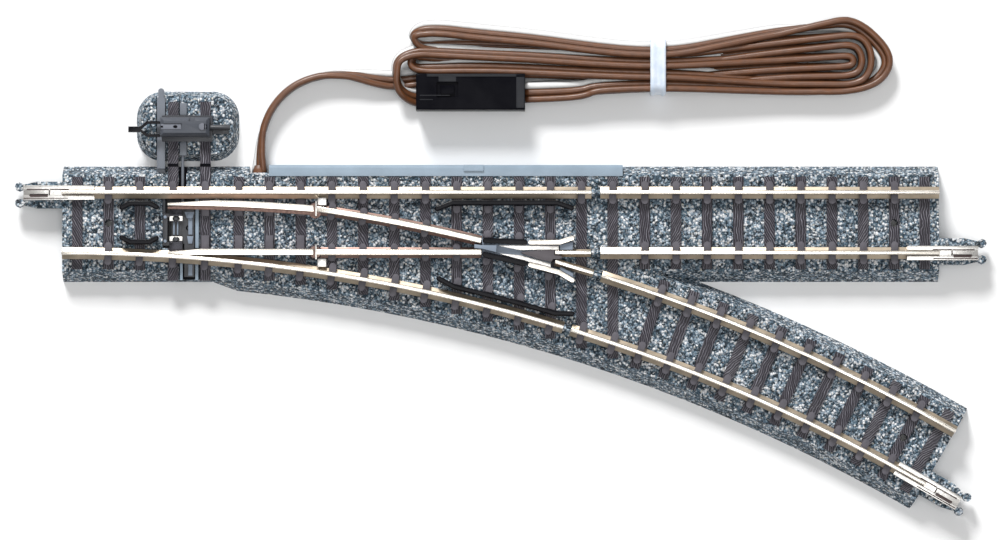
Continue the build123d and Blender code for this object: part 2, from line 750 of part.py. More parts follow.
with BuildPart() as wing_insulators:
    add(strip([(67.55, -2.85), (73.85, -3.15)], WING_WIDTH, FROG_BASE_TOP, WING_TOP))
    add(strip([(67.5, -5.1), (73.85, -6.52)], WING_WIDTH, FROG_BASE_TOP, WING_TOP))
finish(wing_insulators, "wing_insulators")

with BuildPart() as wing_rail_straight:
    add(
        strip(
            [(WING_JOINT + 0.45, -3.15), (79.4, -3.15), (81.4, -2.5)],
            WING_WIDTH - 0.1,
            FROG_BASE_TOP,
            RAIL_TOP,
        )
    )
finish(wing_rail_straight, "wing_rail_straight")

with BuildPart() as wing_rail_diverging:
    add(
        strip(
            [(WING_JOINT + 0.45, -6.76), (79.3, -7.95), (81.4, -9.2)],
            WING_WIDTH - 0.1,
            FROG_BASE_TOP,
            RAIL_TOP,
        )
    )
finish(wing_rail_diverging, "wing_rail_diverging")

with BuildPart() as frog_contact_strips:
    add(
        prism(
            [(69.6, -3.66), (79.3, -3.66), (79.3, -4.38), (73.1, -4.38)],
            FROG_BASE_TOP,
            CONTACT_STRIP_TOP,
        )
    )
    add(
        prism(
            [(69.7, -4.9), (73.3, -5.2), (78.0, -6.52), (78.0, -7.15), (74.3, -6.2)],
            FROG_BASE_TOP,
            CONTACT_STRIP_TOP,
        )
    )
finish(frog_contact_strips, "frog_contact_strips")

# ---------------------------------------------------------------- check rails
GUARD_WIDTH = 0.8
GUARD_TOP = RAIL_TOP - 0.1

with BuildPart() as guard_rails_toe:
    for side in (1, -1):
        add(
            strip(
                [(9.6, 2.4 * side), (10.9, 3.1 * side), (14.0, 3.1 * side), (15.1, 2.5 * side)],
                GUARD_WIDTH,
                SLEEPER_TOP,
                GUARD_TOP,
            )
        )
finish(guard_rails_toe, "guard_rails_toe")

with BuildPart() as guard_rail_back:
    add(
        strip(
            [(59.9, 2.2), (62.3, GUARD_Y), (79.0, GUARD_Y), (81.3, 2.35)],
            GUARD_WIDTH,
            SLEEPER_TOP,
            GUARD_TOP,
        )
    )
finish(guard_rail_back, "guard_rail_back")

with BuildPart() as guard_rail_front:
    guard_from = curve_angle(GUARD_RADIUS, 62.6)
    guard_to = curve_angle(GUARD_RADIUS, 78.6)
    with BuildSketch(Plane.XY.offset(SLEEPER_TOP)):
        with BuildLine():
            Line(on_curve(GUARD_RADIUS + 0.75, guard_from - 0.55), on_curve(GUARD_RADIUS, guard_from))
            ThreePointArc(
                on_curve(GUARD_RADIUS, guard_from),
                on_curve(GUARD_RADIUS, (guard_from + guard_to) / 2),
                on_curve(GUARD_RADIUS, guard_to),
            )
            Line(on_curve(GUARD_RADIUS, guard_to), on_curve(GUARD_RADIUS + 0.75, guard_to + 0.55))
            offset(amount=GUARD_WIDTH / 2)
        make_face()
    extrude(amount=GUARD_TOP - SLEEPER_TOP)
finish(guard_rail_front, "guard_rail_front")

# ---------------------------------------------------------------- blades
TIP_WIDTH = 0.35
BLADE_HALF = CLOSURE_HEAD / 2
STOCK_FACE = RAIL_Y - RAIL_HEAD / 2
BLADE_CLEARANCE = 0.03
HEEL_BOSS_BOTTOM = SLEEPER_TOP + 0.1
BLADE_END_X = HEEL_X - 0.25
CURVED_TAB_Y = 0.68
STRAIGHT_TAB_Y = -2.65
TAB_THICKNESS = 0.2
TAB_PIN = 0.6

# The blade of the diverging route stands open at rest: its plan is drawn closed, on a
# plane that is turned about the heel by the blade's travel.
open_plane = Plane(
    origin=(HEEL_X, HEEL_CURVED_Y, 0),
    x_dir=(cos(radians(BLADE_ANGLE)), sin(radians(BLADE_ANGLE)), 0),
    z_dir=(0, 0, 1),
)


def from_heel(x, y):
    """Closed position of a point of the curved blade, measured from its heel."""
    return (x - HEEL_X, y - HEEL_CURVED_Y)


def curved_blade_face(height):
    gauge_radius = CLOSURE_RADIUS - BLADE_HALF
    back_radius = CLOSURE_RADIUS + BLADE_HALF
    face_y = STOCK_FACE - BLADE_CLEARANCE
    planed_x = sqrt(back_radius**2 - (CURVE_RADIUS + face_y) ** 2)
    middle = (BLADE_TIP_X + BLADE_END_X) / 2
    back_middle = (planed_x + BLADE_END_X) / 2
    tip = from_heel(BLADE_TIP_X, face_y - TIP_WIDTH)
    heel_gauge = from_heel(BLADE_END_X, curve_y(gauge_radius, BLADE_END_X))
    heel_back = from_heel(BLADE_END_X, curve_y(back_radius, BLADE_END_X))
    planed = from_heel(planed_x, face_y)
    with BuildSketch(open_plane.offset(height)) as face:
        with BuildLine():
            ThreePointArc(tip, from_heel(middle, curve_y(gauge_radius, middle)), heel_gauge)
            Line(heel_gauge, heel_back)
            ThreePointArc(
                heel_back, from_heel(back_middle, curve_y(back_radius, back_middle)), planed
            )
            Line(planed, from_heel(BLADE_TIP_X, face_y))
            Line(from_heel(BLADE_TIP_X, face_y), tip)
        make_face()
    return face.sketch


def straight_blade_face(height):
    gauge_y = HEEL_STRAIGHT_Y + BLADE_HALF
    back_y = HEEL_STRAIGHT_Y - BLADE_HALF
    face_radius = INNER_RADIUS + RAIL_HEAD / 2 + BLADE_CLEARANCE
    planed_x = sqrt(face_radius**2 - (CURVE_RADIUS + back_y) ** 2)
    middle = (BLADE_TIP_X + planed_x) / 2
    tip_y = curve_y(face_radius, BLADE_TIP_X)
    with BuildSketch(Plane.XY.offset(height)) as face:
        with BuildLine():
            Line((BLADE_TIP_X + 5, gauge_y), (BLADE_END_X, gauge_y))
            Line((BLADE_END_X, gauge_y), (BLADE_END_X, back_y))
            Line((BLADE_END_X, back_y), (planed_x, back_y))
            ThreePointArc(
                (planed_x, back_y), (middle, curve_y(face_radius, middle)), (BLADE_TIP_X, tip_y)
            )
            Line((BLADE_TIP_X, tip_y), (BLADE_TIP_X, tip_y + TIP_WIDTH))
            Line((BLADE_TIP_X, tip_y + TIP_WIDTH), (BLADE_TIP_X + 5, gauge_y))
        make_face()
    return face.sketch


def heel_boss(heel_y):
    """Boss under a blade's heel, before its bore."""
    return post(HEEL_X, heel_y, 0.95, HEEL_BOSS_BOTTOM, BLADE_BOTTOM + 0.1)


with BuildPart() as blade_curved:
    extrude(curved_blade_face(BLADE_BOTTOM), amount=BLADE_TOP - BLADE_BOTTOM)
    add(heel_boss(HEEL_CURVED_Y))
    add(
        post(HEEL_X, HEEL_CURVED_Y, HEEL_BORE / 2, SLEEPER_TOP, BLADE_BOTTOM + 0.05),
        mode=Mode.SUBTRACT,
    )
finish(blade_curved, "blade_curved")

with BuildPart() as blade_straight:
    extrude(straight_blade_face(BLADE_BOTTOM), amount=BLADE_TOP - BLADE_BOTTOM)
    add(heel_boss(HEEL_STRAIGHT_Y))
    add(
        post(HEEL_X, HEEL_STRAIGHT_Y, HEEL_BORE / 2, SLEEPER_TOP, BLADE_BOTTOM + 0.05),
        mode=Mode.SUBTRACT,
    )
finish(blade_straight, "blade_straight")

with BuildPart() as heel_pins:
    for heel_y in (HEEL_CURVED_Y, HEEL_STRAIGHT_Y):
        add(post(HEEL_X, heel_y, HEEL_PIN / 2, SLEEPER_TOP, BLADE_BOTTOM))
finish(heel_pins, "heel_pins")


def blade_tab(low, high, pin_y):
    """Sprung metal tab that ties a blade's tip to its pin on the throw bar."""
    with BuildPart() as made:
        top = BLADE_BOTTOM
        bottom = top - TAB_THICKNESS
        add(block(17.15, 19.25, low, high, bottom, top))
        fin_y = pin_y + 0.42 if high > pin_y + 1 else pin_y - 0.62
        add(block(17.15, 19.25, fin_y, fin_y + 0.2, top - 0.1, top + 0.45))
        add(block(17.15, 19.25, pin_y - 0.5, pin_y + 0.5, bottom, top))
        with BuildSketch(Plane.XY.offset(bottom)):
            with Locations((TAB_PIN_X, pin_y)):
                SlotOverall(1.15, TAB_PIN + 0.16)
        extrude(amount=1, mode=Mode.SUBTRACT)
    return made.part


with BuildPart() as blade_tab_curved:
    add(blade_tab(CURVED_TAB_Y - 0.5, 2.87, CURVED_TAB_Y))
finish(blade_tab_curved, "blade_tab_curved")

with BuildPart() as blade_tab_straight:
    add(blade_tab(-4.65, STRAIGHT_TAB_Y + 0.5, STRAIGHT_TAB_Y))
finish(blade_tab_straight, "blade_tab_straight")

HEEL_METAL_BOTTOM = 4.75
CONTACT_TOP = 5.0
CONTACT_X = (40.8, 42.2)
CONTACT_STEM_X = (41.5, 42.2)

with BuildPart() as heel_clips:
    for heel_y in (HEEL_CURVED_Y, HEEL_STRAIGHT_Y):
        clip = (HEEL_X + 0.05, HEEL_X + 0.3, heel_y - 1.2, heel_y + 1.2)
        add(block(*clip, HEEL_METAL_BOTTOM, RAIL_TOP - 0.1))
finish(heel_clips, "heel_clips")

with BuildPart() as heel_contacts:
    add(block(*CONTACT_X, 2.8, 4.0, HEEL_METAL_BOTTOM, CONTACT_TOP))
    add(block(*CONTACT_STEM_X, 3.15, 3.8, BED_TOP, HEEL_METAL_BOTTOM))
    add(block(*CONTACT_X, -7.05, -5.75, HEEL_METAL_BOTTOM, CONTACT_TOP))
    add(block(*CONTACT_STEM_X, -6.75, -5.75, BED_TOP, HEEL_METAL_BOTTOM))
finish(heel_contacts, "heel_contacts")

# ---------------------------------------------------------------- throw
CRANK_PIN = 0.7
CRANK_PIN_X = CRANK_PIVOT[0] - CRANK_THROW_ARM
CRANK_PIN_Y = CRANK_PIVOT[1]
FLAG_ROD = (19.2, 3.4)
FLAG_ROD_RADIUS = 0.25
CRANK_BOTTOM = 0.85
CRANK_TOP = 1.45
LEVER_LOW = (1.8, 2.65)
LEVER_DROP = (8.7, 9.1)

with BuildPart() as throw_bar:
    add(block(19.5, 21.1, -8.6, 2.6, BAR_BOTTOM, BAR_TOP))
    with BuildSketch(Plane.XY.offset(BAR_BOTTOM)):
        with Locations((20.3, 1.6)):
            RegularPolygon(0.95, 6)
    extrude(amount=BAR_TOP + 0.35 - BAR_BOTTOM)
    add(block(17.5, 19.6, -3.3, 1.4, BAR_BOTTOM, BAR_TOP))
    add(block(16.1, 16.8, -3.6, 1.5, BAR_BOTTOM, BAR_TOP))
    add(block(16.7, 17.6, -3.6, -3.0, BAR_BOTTOM, BAR_TOP))
    add(block(16.7, 17.6, 0.9, 1.5, BAR_BOTTOM, BAR_TOP))
    add(block(18.75, 19.6, 1.3, 3.2, BAR_BOTTOM, BAR_TOP))
    # Ridges between the two blade tabs.
    for ridge in range(3):
        ridge_x = 17.7 + 0.55 * ridge
        add(block(ridge_x, ridge_x + 0.28, -1.9, -0.1, BAR_TOP - 0.1, BAR_TOP + 0.25))
    for tab_y in (CURVED_TAB_Y, STRAIGHT_TAB_Y):
        add(post(TAB_PIN_X, tab_y, TAB_PIN / 2, BAR_TOP - 0.1, BLADE_BOTTOM + 0.15))
    with BuildSketch(Plane.XY.offset(BAR_BOTTOM)):
        with Locations((CRANK_PIN_X + 0.06, CRANK_PIN_Y)):
            SlotOverall(1.2, CRANK_PIN + 0.14)
        with Locations((20.3, -5.2)):
            Rectangle(0.8, 1.2)
    extrude(amount=2, mode=Mode.SUBTRACT)
    with BuildSketch(Plane.XZ.offset(-3.3)):
        with Locations(FLAG_ROD):
            Circle(FLAG_ROD_RADIUS)
    extrude(amount=1.6, mode=Mode.SUBTRACT)
finish(throw_bar, "throw_bar")

with BuildPart() as manual_lever:
    lever_x = (LEVER_X - LEVER_WIDTH / 2, LEVER_X + LEVER_WIDTH / 2)
    add(block(*lever_x, -3.0, LEVER_DROP[1], *LEVER_LOW))
    add(block(16.1, 16.8, -3.0, 1.0, 1.8, BAR_BOTTOM))
    add(block(*lever_x, *LEVER_DROP, LEVER_LOW[0], BAR_TOP))
    add(block(*lever_x, LEVER_DROP[0], 20.0, BAR_BOTTOM, BAR_TOP))
    add(block(LEVER_X - 0.47, LEVER_X + 0.47, 19.8, 21.1, BAR_BOTTOM, BAR_TOP))
    add(post(LEVER_X, 21.1, 0.47, BAR_BOTTOM, BAR_TOP))
finish(manual_lever, "manual_lever")

with BuildPart() as machine_rod:
    with BuildSketch(Plane.XZ.offset(-11.0)):
        with Locations(FLAG_ROD):
            Circle(FLAG_ROD_RADIUS)
    extrude(amount=9.3)
    add(block(18.85, 19.75, 12.6, 17.6, 3.05, BAR_TOP))
    add(block(18.75, 19.85, 10.8, 12.8, 3.05, BAR_TOP + 0.07))
    add(block(18.75, 19.85, 17.3, 19.2, 3.05, BAR_TOP + 0.07))
finish(machine_rod, "machine_rod")

with BuildPart() as bell_crank:
    pivot_x, pivot_y = CRANK_PIVOT
    with BuildSketch(Plane.XY.offset(CRANK_BOTTOM)):
        with Locations((pivot_x, pivot_y)):
            Circle(1.6)
        with Locations(((pivot_x + CRANK_PIN_X) / 2, pivot_y)):
            SlotCenterToCenter(CRANK_THROW_ARM, 1.3)
        with Locations(Location((pivot_x, pivot_y + CRANK_LINK_ARM / 2), 90)):
            SlotCenterToCenter(CRANK_LINK_ARM, 1.3)
        with Locations((pivot_x, pivot_y)):
            Circle(0.55, mode=Mode.SUBTRACT)
    extrude(amount=CRANK_TOP - CRANK_BOTTOM)
    add(post(CRANK_PIN_X, pivot_y, CRANK_PIN / 2, CRANK_BOTTOM, BAR_TOP - 0.15))
    add(post(pivot_x, pivot_y + CRANK_LINK_ARM, CRANK_PIN / 2, CRANK_BOTTOM, 2.45))
finish(bell_crank, "bell_crank")

with BuildPart() as crank_pivot:
    add(post(*CRANK_PIVOT, 0.5, COVER_THICKNESS, BED_CEILING))
finish(crank_pivot, "crank_pivot")

# ---------------------------------------------------------------- drive unit
COIL_CENTRES = (50.0, 66.0)
BOBBIN_LENGTH = 12.0
PLUNGER_START = 43.0
PLUNGER_END = 73.0
PLUNGER_HALF = 1.5
LINK_BOTTOM = 1.5
LINK_TOP = PLUNGER_TOP

with BuildPart() as link_strip:
    with BuildSketch(Plane.XY.offset(LINK_BOTTOM)):
        with Locations(((CRANK_PIVOT[0] + PLUNGER_START) / 2 + 0.5, PLUNGER_Y)):
            Rectangle(PLUNGER_START - CRANK_PIVOT[0] + 1, 0.9)
        with Locations((CRANK_PIVOT[0], PLUNGER_Y - 0.07)):
            RectangleRounded(1.9, 2.3, 0.6)
        with Locations(Location((CRANK_PIVOT[0], PLUNGER_Y - 0.07), 90)):
            SlotOverall(1.05, CRANK_PIN + 0.14, mode=Mode.SUBTRACT)
    extrude(amount=LINK_TOP - LINK_BOTTOM)
finish(link_strip, "link_strip")

with BuildPart() as plunger:
    add(
        block(
            PLUNGER_START,
            PLUNGER_END,
            PLUNGER_Y - PLUNGER_HALF,
            PLUNGER_Y + PLUNGER_HALF,
            PLUNGER_BOTTOM,
            PLUNGER_TOP,
        )
    )
    add(
        block(
            PLUNGER_START, PLUNGER_START + 1, PLUNGER_Y - 0.45, PLUNGER_Y + 0.45, LINK_BOTTOM, 3
        ),
        mode=Mode.SUBTRACT,
    )
finish(plunger, "plunger")


def around_plunger(x0, x1, side_gap, height_gap):
    """Box about the plunger's path, wider and taller than it by these gaps."""
    return block(
        x0,
        x1,
        PLUNGER_Y - PLUNGER_HALF - side_gap,
        PLUNGER_Y + PLUNGER_HALF + side_gap,
        PLUNGER_BOTTOM - height_gap,
        PLUNGER_TOP + height_gap,
    )


with BuildPart() as coil_bobbins:
    for centre in COIL_CENTRES:
        start = centre - BOBBIN_LENGTH / 2
        end = centre + BOBBIN_LENGTH / 2
        add(around_plunger(start, end, 0.35, 0.3))
        add(around_plunger(start, start + 0.5, 0.85, 0.8))
        add(around_plunger(end - 0.5, end, 0.85, 0.8))
        add(around_plunger(start - 1, end + 1, 0.1, 0.1), mode=Mode.SUBTRACT)
finish(coil_bobbins, "coil_bobbins")

with BuildPart() as coil_windings:
    for centre in COIL_CENTRES:
        start = centre - BOBBIN_LENGTH / 2 + 0.5
        end = centre + BOBBIN_LENGTH / 2 - 0.5
        add(around_plunger(start, end, 0.75, 0.7))
        add(around_plunger(start - 1, end + 1, 0.35, 0.3), mode=Mode.SUBTRACT)
finish(coil_windings, "coil_windings")

with BuildPart() as drive_case:
    add(block(DRIVE_START, DRIVE_END, DRIVE_FRONT, DRIVE_BACK, 0, COVER_THICKNESS))
    add(block(DRIVE_START, DRIVE_END, 7.5, DRIVE_BACK, 0, DRIVE_STRIP_TOP))
    add(block(DRIVE_START, DRIVE_END, DRIVE_FRONT, 1.4, 0, BED_CEILING))
    add(block(DRIVE_START, DRIVE_START + 0.5, DRIVE_FRONT, 7.5, 0, BED_CEILING))
    add(block(DRIVE_END - 0.5, DRIVE_END, DRIVE_FRONT, 7.5, 0, BED_CEILING))
    chamfer(
        faces().sort_by(Axis.Z)[-1].edges().sort_by(Axis.Y)[-1],
        length=0.35,
    )
    # Latch on the visible edge, cradles for the bobbins and the link's window.
    add(block(64.1, 67.3, 8.3, DRIVE_BACK, 3.0, DRIVE_STRIP_TOP + 0.3))
    for centre in COIL_CENTRES:
        for side in (-1, 1):
            x = centre + side * (BOBBIN_LENGTH / 2 - 0.25)
            add(block(x - 0.25, x + 0.25, 1.4, 1.85, 0, 2.6))
            add(block(x - 0.25, x + 0.25, 6.55, 7.5, 0, 2.6))
    add(block(31, 34, 3.1, 5.3, 1.4, 2.4), mode=Mode.SUBTRACT)
finish(drive_case, "drive_case")

with BuildPart() as circuit_board:
    add(block(77.5, 88.0, 2.0, 7.0, COVER_THICKNESS, 1.3))
finish(circuit_board, "circuit_board")

with BuildPart() as board_parts:
    add(post(84.5, 4.5, 1.3, 1.3, 2.6))
    add(block(79.0, 81.2, 2.8, 4.1, 1.3, 2.1))
    add(block(79.0, 81.2, 5.2, 6.2, 1.3, 1.9))
finish(board_parts, "board_parts")

with BuildPart() as detent_spring:
    add(strip([(75.2, 1.6), (75.2, 3.0), (75.6, 4.2), (75.2, 5.4), (75.2, 7.3)], 0.2, 0.5, 2.2))
finish(detent_spring, "detent_spring")

with BuildPart() as base_cover:
    add(block(9.8, 32.6, -7.5, 7.5, 0, COVER_THICKNESS))
    fillet(edges().filter_by(Axis.Z), radius=1)
    for post_x, post_y in COVER_POSTS:
        with Locations(Location((post_x, post_y, 0), (180, 0, 0))):
            CounterBoreHole(SCREW_RADIUS, 0.75, 0.25, COVER_THICKNESS)
finish(base_cover, "base_cover")

with BuildPart() as cover_screws:
    for post_x, post_y in COVER_POSTS:
        add(post(post_x, post_y, 0.75, 0.05, 0.25))
        add(post(post_x, post_y, SCREW_RADIUS, 0.25, 2.2))
        slot = block(post_x - 0.5, post_x + 0.5, post_y - 0.1, post_y + 0.1, 0.04, 0.14)
        add(slot, mode=Mode.SUBTRACT)
finish(cover_screws, "cover_screws")


# ---------------------------------------------------------------- rail joiners
def joiner(end):
    """Channel that grips a rail's foot and takes the next rail's."""
    x, y, heading = RAIL_ENDS[end]
    section = [
        (-1.15, -0.2),
        (1.15, -0.2),
        (1.15, 0.75),
        (0.42, 0.75),
        (0.42, 0.57),
        (0.97, 0.57),
        (0.97, 0.0),
        (-0.97, 0.0),
        (-0.97, 0.57),
        (-0.42, 0.57),
        (-0.42, 0.75),
        (-1.15, 0.75),
    ]
    along = (cos(radians(heading)), sin(radians(heading)), 0)
    across = (-sin(radians(heading)), cos(radians(heading)), 0)
    start = (x - JOINER_ON_RAIL * along[0], y - JOINER_ON_RAIL * along[1], SLEEPER_TOP)
    with BuildPart() as made:
        with BuildSketch(Plane(origin=start, x_dir=across, z_dir=along)):
            Polygon(*section, align=None)
        extrude(amount=JOINER_LENGTH)
    return made.part


with BuildPart() as joiner_toe:
    add(joiner("toe"))
finish(joiner_toe, "joiner_toe")

with BuildPart() as joiner_straight:
    add(joiner("straight"))
finish(joiner_straight, "joiner_straight")

with BuildPart() as joiner_diverging:
    add(joiner("diverging"))
finish(joiner_diverging, "joiner_diverging")

# ---------------------------------------------------------------- point machine
MACHINE_TOP = 6.6
FORK_Y = 14.9
ISLAND_SLOTS = (LEVER_NOTCH_X, (18.6, 20.0))

with BuildPart() as island_base:
    with BuildSketch():
        with Locations(ISLAND_CENTRE):
            RectangleRounded(*ISLAND_SIZE, 4.2)
    extrude(amount=BED_TOP, taper=14)
    with BuildSketch():
        with Locations(ISLAND_CENTRE):
            RectangleRounded(ISLAND_SIZE[0] - 2.4, ISLAND_SIZE[1] - 2.4, 3.2)
    extrude(amount=1.9, taper=10, mode=Mode.SUBTRACT)
    for slot in ISLAND_SLOTS:
        add(block(*slot, 9, 23, BED_CEILING + 0.05, 5), mode=Mode.SUBTRACT)
    with BuildSketch(Plane.XY.offset(SLEEPER_BOTTOM)):
        for x in ISLAND_SLEEPERS:
            draw_sleeper(x, 8, ISLAND_SLEEPER_END)
    extrude(amount=2, mode=Mode.SUBTRACT)
finish(island_base, "island_base")

with BuildPart() as machine_base:
    add(block(15.9, 24.0, 13.0, 17.2, SLEEPER_TOP, 4.2))
    add(block(15.9, 23.7, 13.6, 16.9, 4.1, 4.4))
finish(machine_base, "machine_base")

with BuildPart() as machine_cover:
    add(block(15.75, 23.55, 13.75, 16.75, 4.4, MACHINE_TOP))
    chamfer(faces().sort_by(Axis.Z)[-1].edges(), length=0.5)
    add(block(15.6, 19.2, 14.75, 15.75, MACHINE_TOP - 0.2, 7), mode=Mode.SUBTRACT)
    add(post(22.45, 15.25, 0.66, 6.5, MACHINE_TOP + 0.1))
    add(block(20.3, 21.3, 16.1, 17, 5.9, 7), mode=Mode.SUBTRACT)
finish(machine_cover, "machine_cover")

with BuildPart() as machine_fork:
    add(
        strip(
            [(15.5, 16.0), (13.6, 16.0), (12.3, FORK_Y), (13.6, 13.9), (15.5, 13.9)],
            0.42,
            4.5,
            5.4,
        )
    )
    add(block(10.6, 12.4, FORK_Y - 0.45, FORK_Y + 0.45, 4.5, 5.4))
finish(machine_fork, "machine_fork")

with BuildPart() as machine_shaft:
    with BuildSketch(Plane.YZ.offset(23.55)):
        with Locations((MACHINE_Y, 5.2)):
            Circle(0.45)
    extrude(amount=3.3)
    add(block(24.05, 26.6, 14.2, 15.2, 4.0, 5.0))
    add(block(25.6, 26.1, 14.4, 14.9, 4.9, 5.2))
finish(machine_shaft, "machine_shaft")

# ---------------------------------------------------------------- lead and its hank
# The lead lies on the surface, from the clamp in the roadbed round to the hank.
LEAD_ROUTE = [
    (31.4, 8.1),
    (31.4, 11.4),
    (31.95, 15.3),
    (33.65, 19.1),
    (36.85, 22.2),
    (41.1, 23.8),
    (45.9, 24.0),
    (50.0, 23.3),
    (53.6, 22.3),
]
ARC_SHARE = 0.45

with BuildPart() as cord_clamp:
    add(block(*CORD_NOTCH, 6.9, LEAD_EXIT[1], COVER_THICKNESS, 3.05))
finish(cord_clamp, "cord_clamp")


def arc_radii(points):
    """Largest arc at each bend that leaves its two runs room."""
    radii = []
    for before, point, after in zip(points, points[1:], points[2:]):
        run_in = Vector(*point) - Vector(*before)
        run_out = Vector(*after) - Vector(*point)
        half_turn = radians(run_in.get_angle(run_out)) / 2
        shorter = min(run_in.length, run_out.length)
        radii.append(ARC_SHARE * shorter / tan(half_turn))
    return radii


lead_points = [(x, y, LEAD_EXIT[2]) for x, y in LEAD_ROUTE]
lead_radii = arc_radii(lead_points)
print("lead radii", [round(radius, 1) for radius in lead_radii])

with BuildPart() as cord_lead:
    with BuildLine() as lead_path:
        FilletPolyline(*lead_points, radius=lead_radii)
    with BuildSketch(Plane(lead_path.line @ 0, z_dir=lead_path.line % 0)):
        Circle(LEAD_DIAMETER / 2)
    sweep()
finish(cord_lead, "cord_lead")

# Outer shape of the hank, seen from above.
HANK_OUTLINE = [
    (53.3, 24.5),
    (57.5, 31.4),
    (68.0, 31.8),
    (86.0, 29.5),
    (95.2, 28.9),
    (108.0, 30.0),
    (122.0, 32.4),
    (130.0, 29.3),
    (131.4, 25.0),
    (126.0, 21.6),
    (112.0, 21.3),
    (95.2, 21.1),
    (84.0, 19.8),
    (74.0, 19.4),
    (57.5, 19.8),
    (54.0, 21.6),
]
TIE_INNER = (21.4, 28.6, 0.45, 3.6)
TIE_OUTER = (20.8, 29.2, 0.0, 4.1)
connector_box = (
    CONNECTOR_START,
    CONNECTOR_START + CONNECTOR_LENGTH,
    CONNECTOR_Y - CONNECTOR_WIDTH / 2,
    CONNECTOR_Y + CONNECTOR_WIDTH / 2,
    CONNECTOR_BOTTOM,
    CONNECTOR_BOTTOM + CONNECTOR_HEIGHT,
)

with BuildPart() as cord_hank:
    with BuildSketch():
        with BuildLine():
            Spline(*HANK_OUTLINE, periodic=True)
        make_face()
    extrude(amount=HANK_HEIGHT)
    add(block(*connector_box), mode=Mode.SUBTRACT)
    # The tie draws the hank in to its own inner size.
    with BuildSketch():
        with Locations((sum(TIE_X) / 2, 25)):
            Rectangle(TIE_X[1] - TIE_X[0], 30)
    extrude(amount=HANK_HEIGHT, mode=Mode.SUBTRACT)
    add(block(*TIE_X, *TIE_INNER))
finish(cord_hank, "cord_hank")

with BuildPart() as cord_tie:
    with BuildSketch(Plane.YZ.offset(TIE_X[0])):
        y0, y1, z0, z1 = TIE_OUTER
        with Locations(((y0 + y1) / 2, (z0 + z1) / 2)):
            RectangleRounded(y1 - y0, z1 - z0, 0.9)
        y0, y1, z0, z1 = TIE_INNER
        with Locations(((y0 + y1) / 2, (z0 + z1) / 2)):
            Rectangle(y1 - y0, z1 - z0, mode=Mode.SUBTRACT)
    extrude(amount=TIE_X[1] - TIE_X[0])
finish(cord_tie, "cord_tie")

CAVITY_PITCH = 1.75
CAVITY = (1.2, 2.4)
CAVITY_Z = CONNECTOR_BOTTOM + 1.9
cavity_spots = [CONNECTOR_Y + CAVITY_PITCH * step for step in (-1, 0, 1)]

with BuildPart() as connector_housing:
    add(block(*connector_box))
    fillet(edges().filter_by(Axis.X), radius=0.25)
    with BuildSketch(Plane.YZ.offset(CONNECTOR_START)):
        with Locations(*[(y, CAVITY_Z) for y in cavity_spots]):
            Rectangle(*CAVITY)
    extrude(amount=CONNECTOR_LENGTH, mode=Mode.SUBTRACT)
    # Latch window and the step along the back edge.
    top = connector_box[5]
    add(block(59.8, 63.2, 20.0, 22.4, top - 0.35, top + 1), mode=Mode.SUBTRACT)
    add(block(60.4, 62.6, 20.5, 21.9, top - 0.4, top), mode=Mode.ADD)
    add(block(58.2, 72.5, 23.2, 24.5, top - 0.5, top + 1), mode=Mode.SUBTRACT)
finish(connector_housing, "connector_housing")

with BuildPart() as connector_contacts:
    for y in cavity_spots:
        low = CAVITY_Z - CAVITY[1] / 2
        add(block(58.0, 71.0, y - 0.45, y + 0.45, low, low + 0.3))
        add(block(66.0, 71.0, y - 0.45, y + 0.45, low, low + 1.1))
finish(connector_contacts, "connector_contacts")

lead_length = sum(edge.length for edge in lead_path.line.edges())
sweep_ratio = cord_lead.part.volume / (pi * LEAD_DIAMETER**2 / 4 * lead_length)
print("lead volume over section times length", round(sweep_ratio, 3))
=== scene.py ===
import json
import math

import bmesh
import bpy
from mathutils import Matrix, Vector

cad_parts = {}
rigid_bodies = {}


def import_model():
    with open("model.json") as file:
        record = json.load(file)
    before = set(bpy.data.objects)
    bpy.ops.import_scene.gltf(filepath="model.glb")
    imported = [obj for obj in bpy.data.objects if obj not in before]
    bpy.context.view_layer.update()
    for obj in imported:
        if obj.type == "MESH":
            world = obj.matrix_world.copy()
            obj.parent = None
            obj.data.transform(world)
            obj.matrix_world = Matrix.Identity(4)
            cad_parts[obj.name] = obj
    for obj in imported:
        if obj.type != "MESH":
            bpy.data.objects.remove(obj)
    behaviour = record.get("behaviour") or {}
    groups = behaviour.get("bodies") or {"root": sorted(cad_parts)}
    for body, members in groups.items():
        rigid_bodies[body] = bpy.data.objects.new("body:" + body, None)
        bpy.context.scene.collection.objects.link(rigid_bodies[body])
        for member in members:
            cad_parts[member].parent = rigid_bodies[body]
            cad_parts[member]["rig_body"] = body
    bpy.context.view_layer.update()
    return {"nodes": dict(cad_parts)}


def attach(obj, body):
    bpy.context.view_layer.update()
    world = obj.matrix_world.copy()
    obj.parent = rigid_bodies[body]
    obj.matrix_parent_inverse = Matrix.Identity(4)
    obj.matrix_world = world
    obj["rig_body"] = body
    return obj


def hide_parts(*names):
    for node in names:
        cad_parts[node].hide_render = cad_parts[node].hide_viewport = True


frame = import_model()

MM = 0.001
nodes = frame["nodes"]


def mm(*values):
    """A point given in millimetres, as metres."""
    return Vector(values) * MM


# ---------------------------------------------------------------- camera
VIEW_CENTRE = mm(69.9, -7.6, 6.0)
VIEW_WIDTH = 159.3 * MM
VIEW_DISTANCE = 1.1
VIEW_ELEVATION = math.radians(87.5)

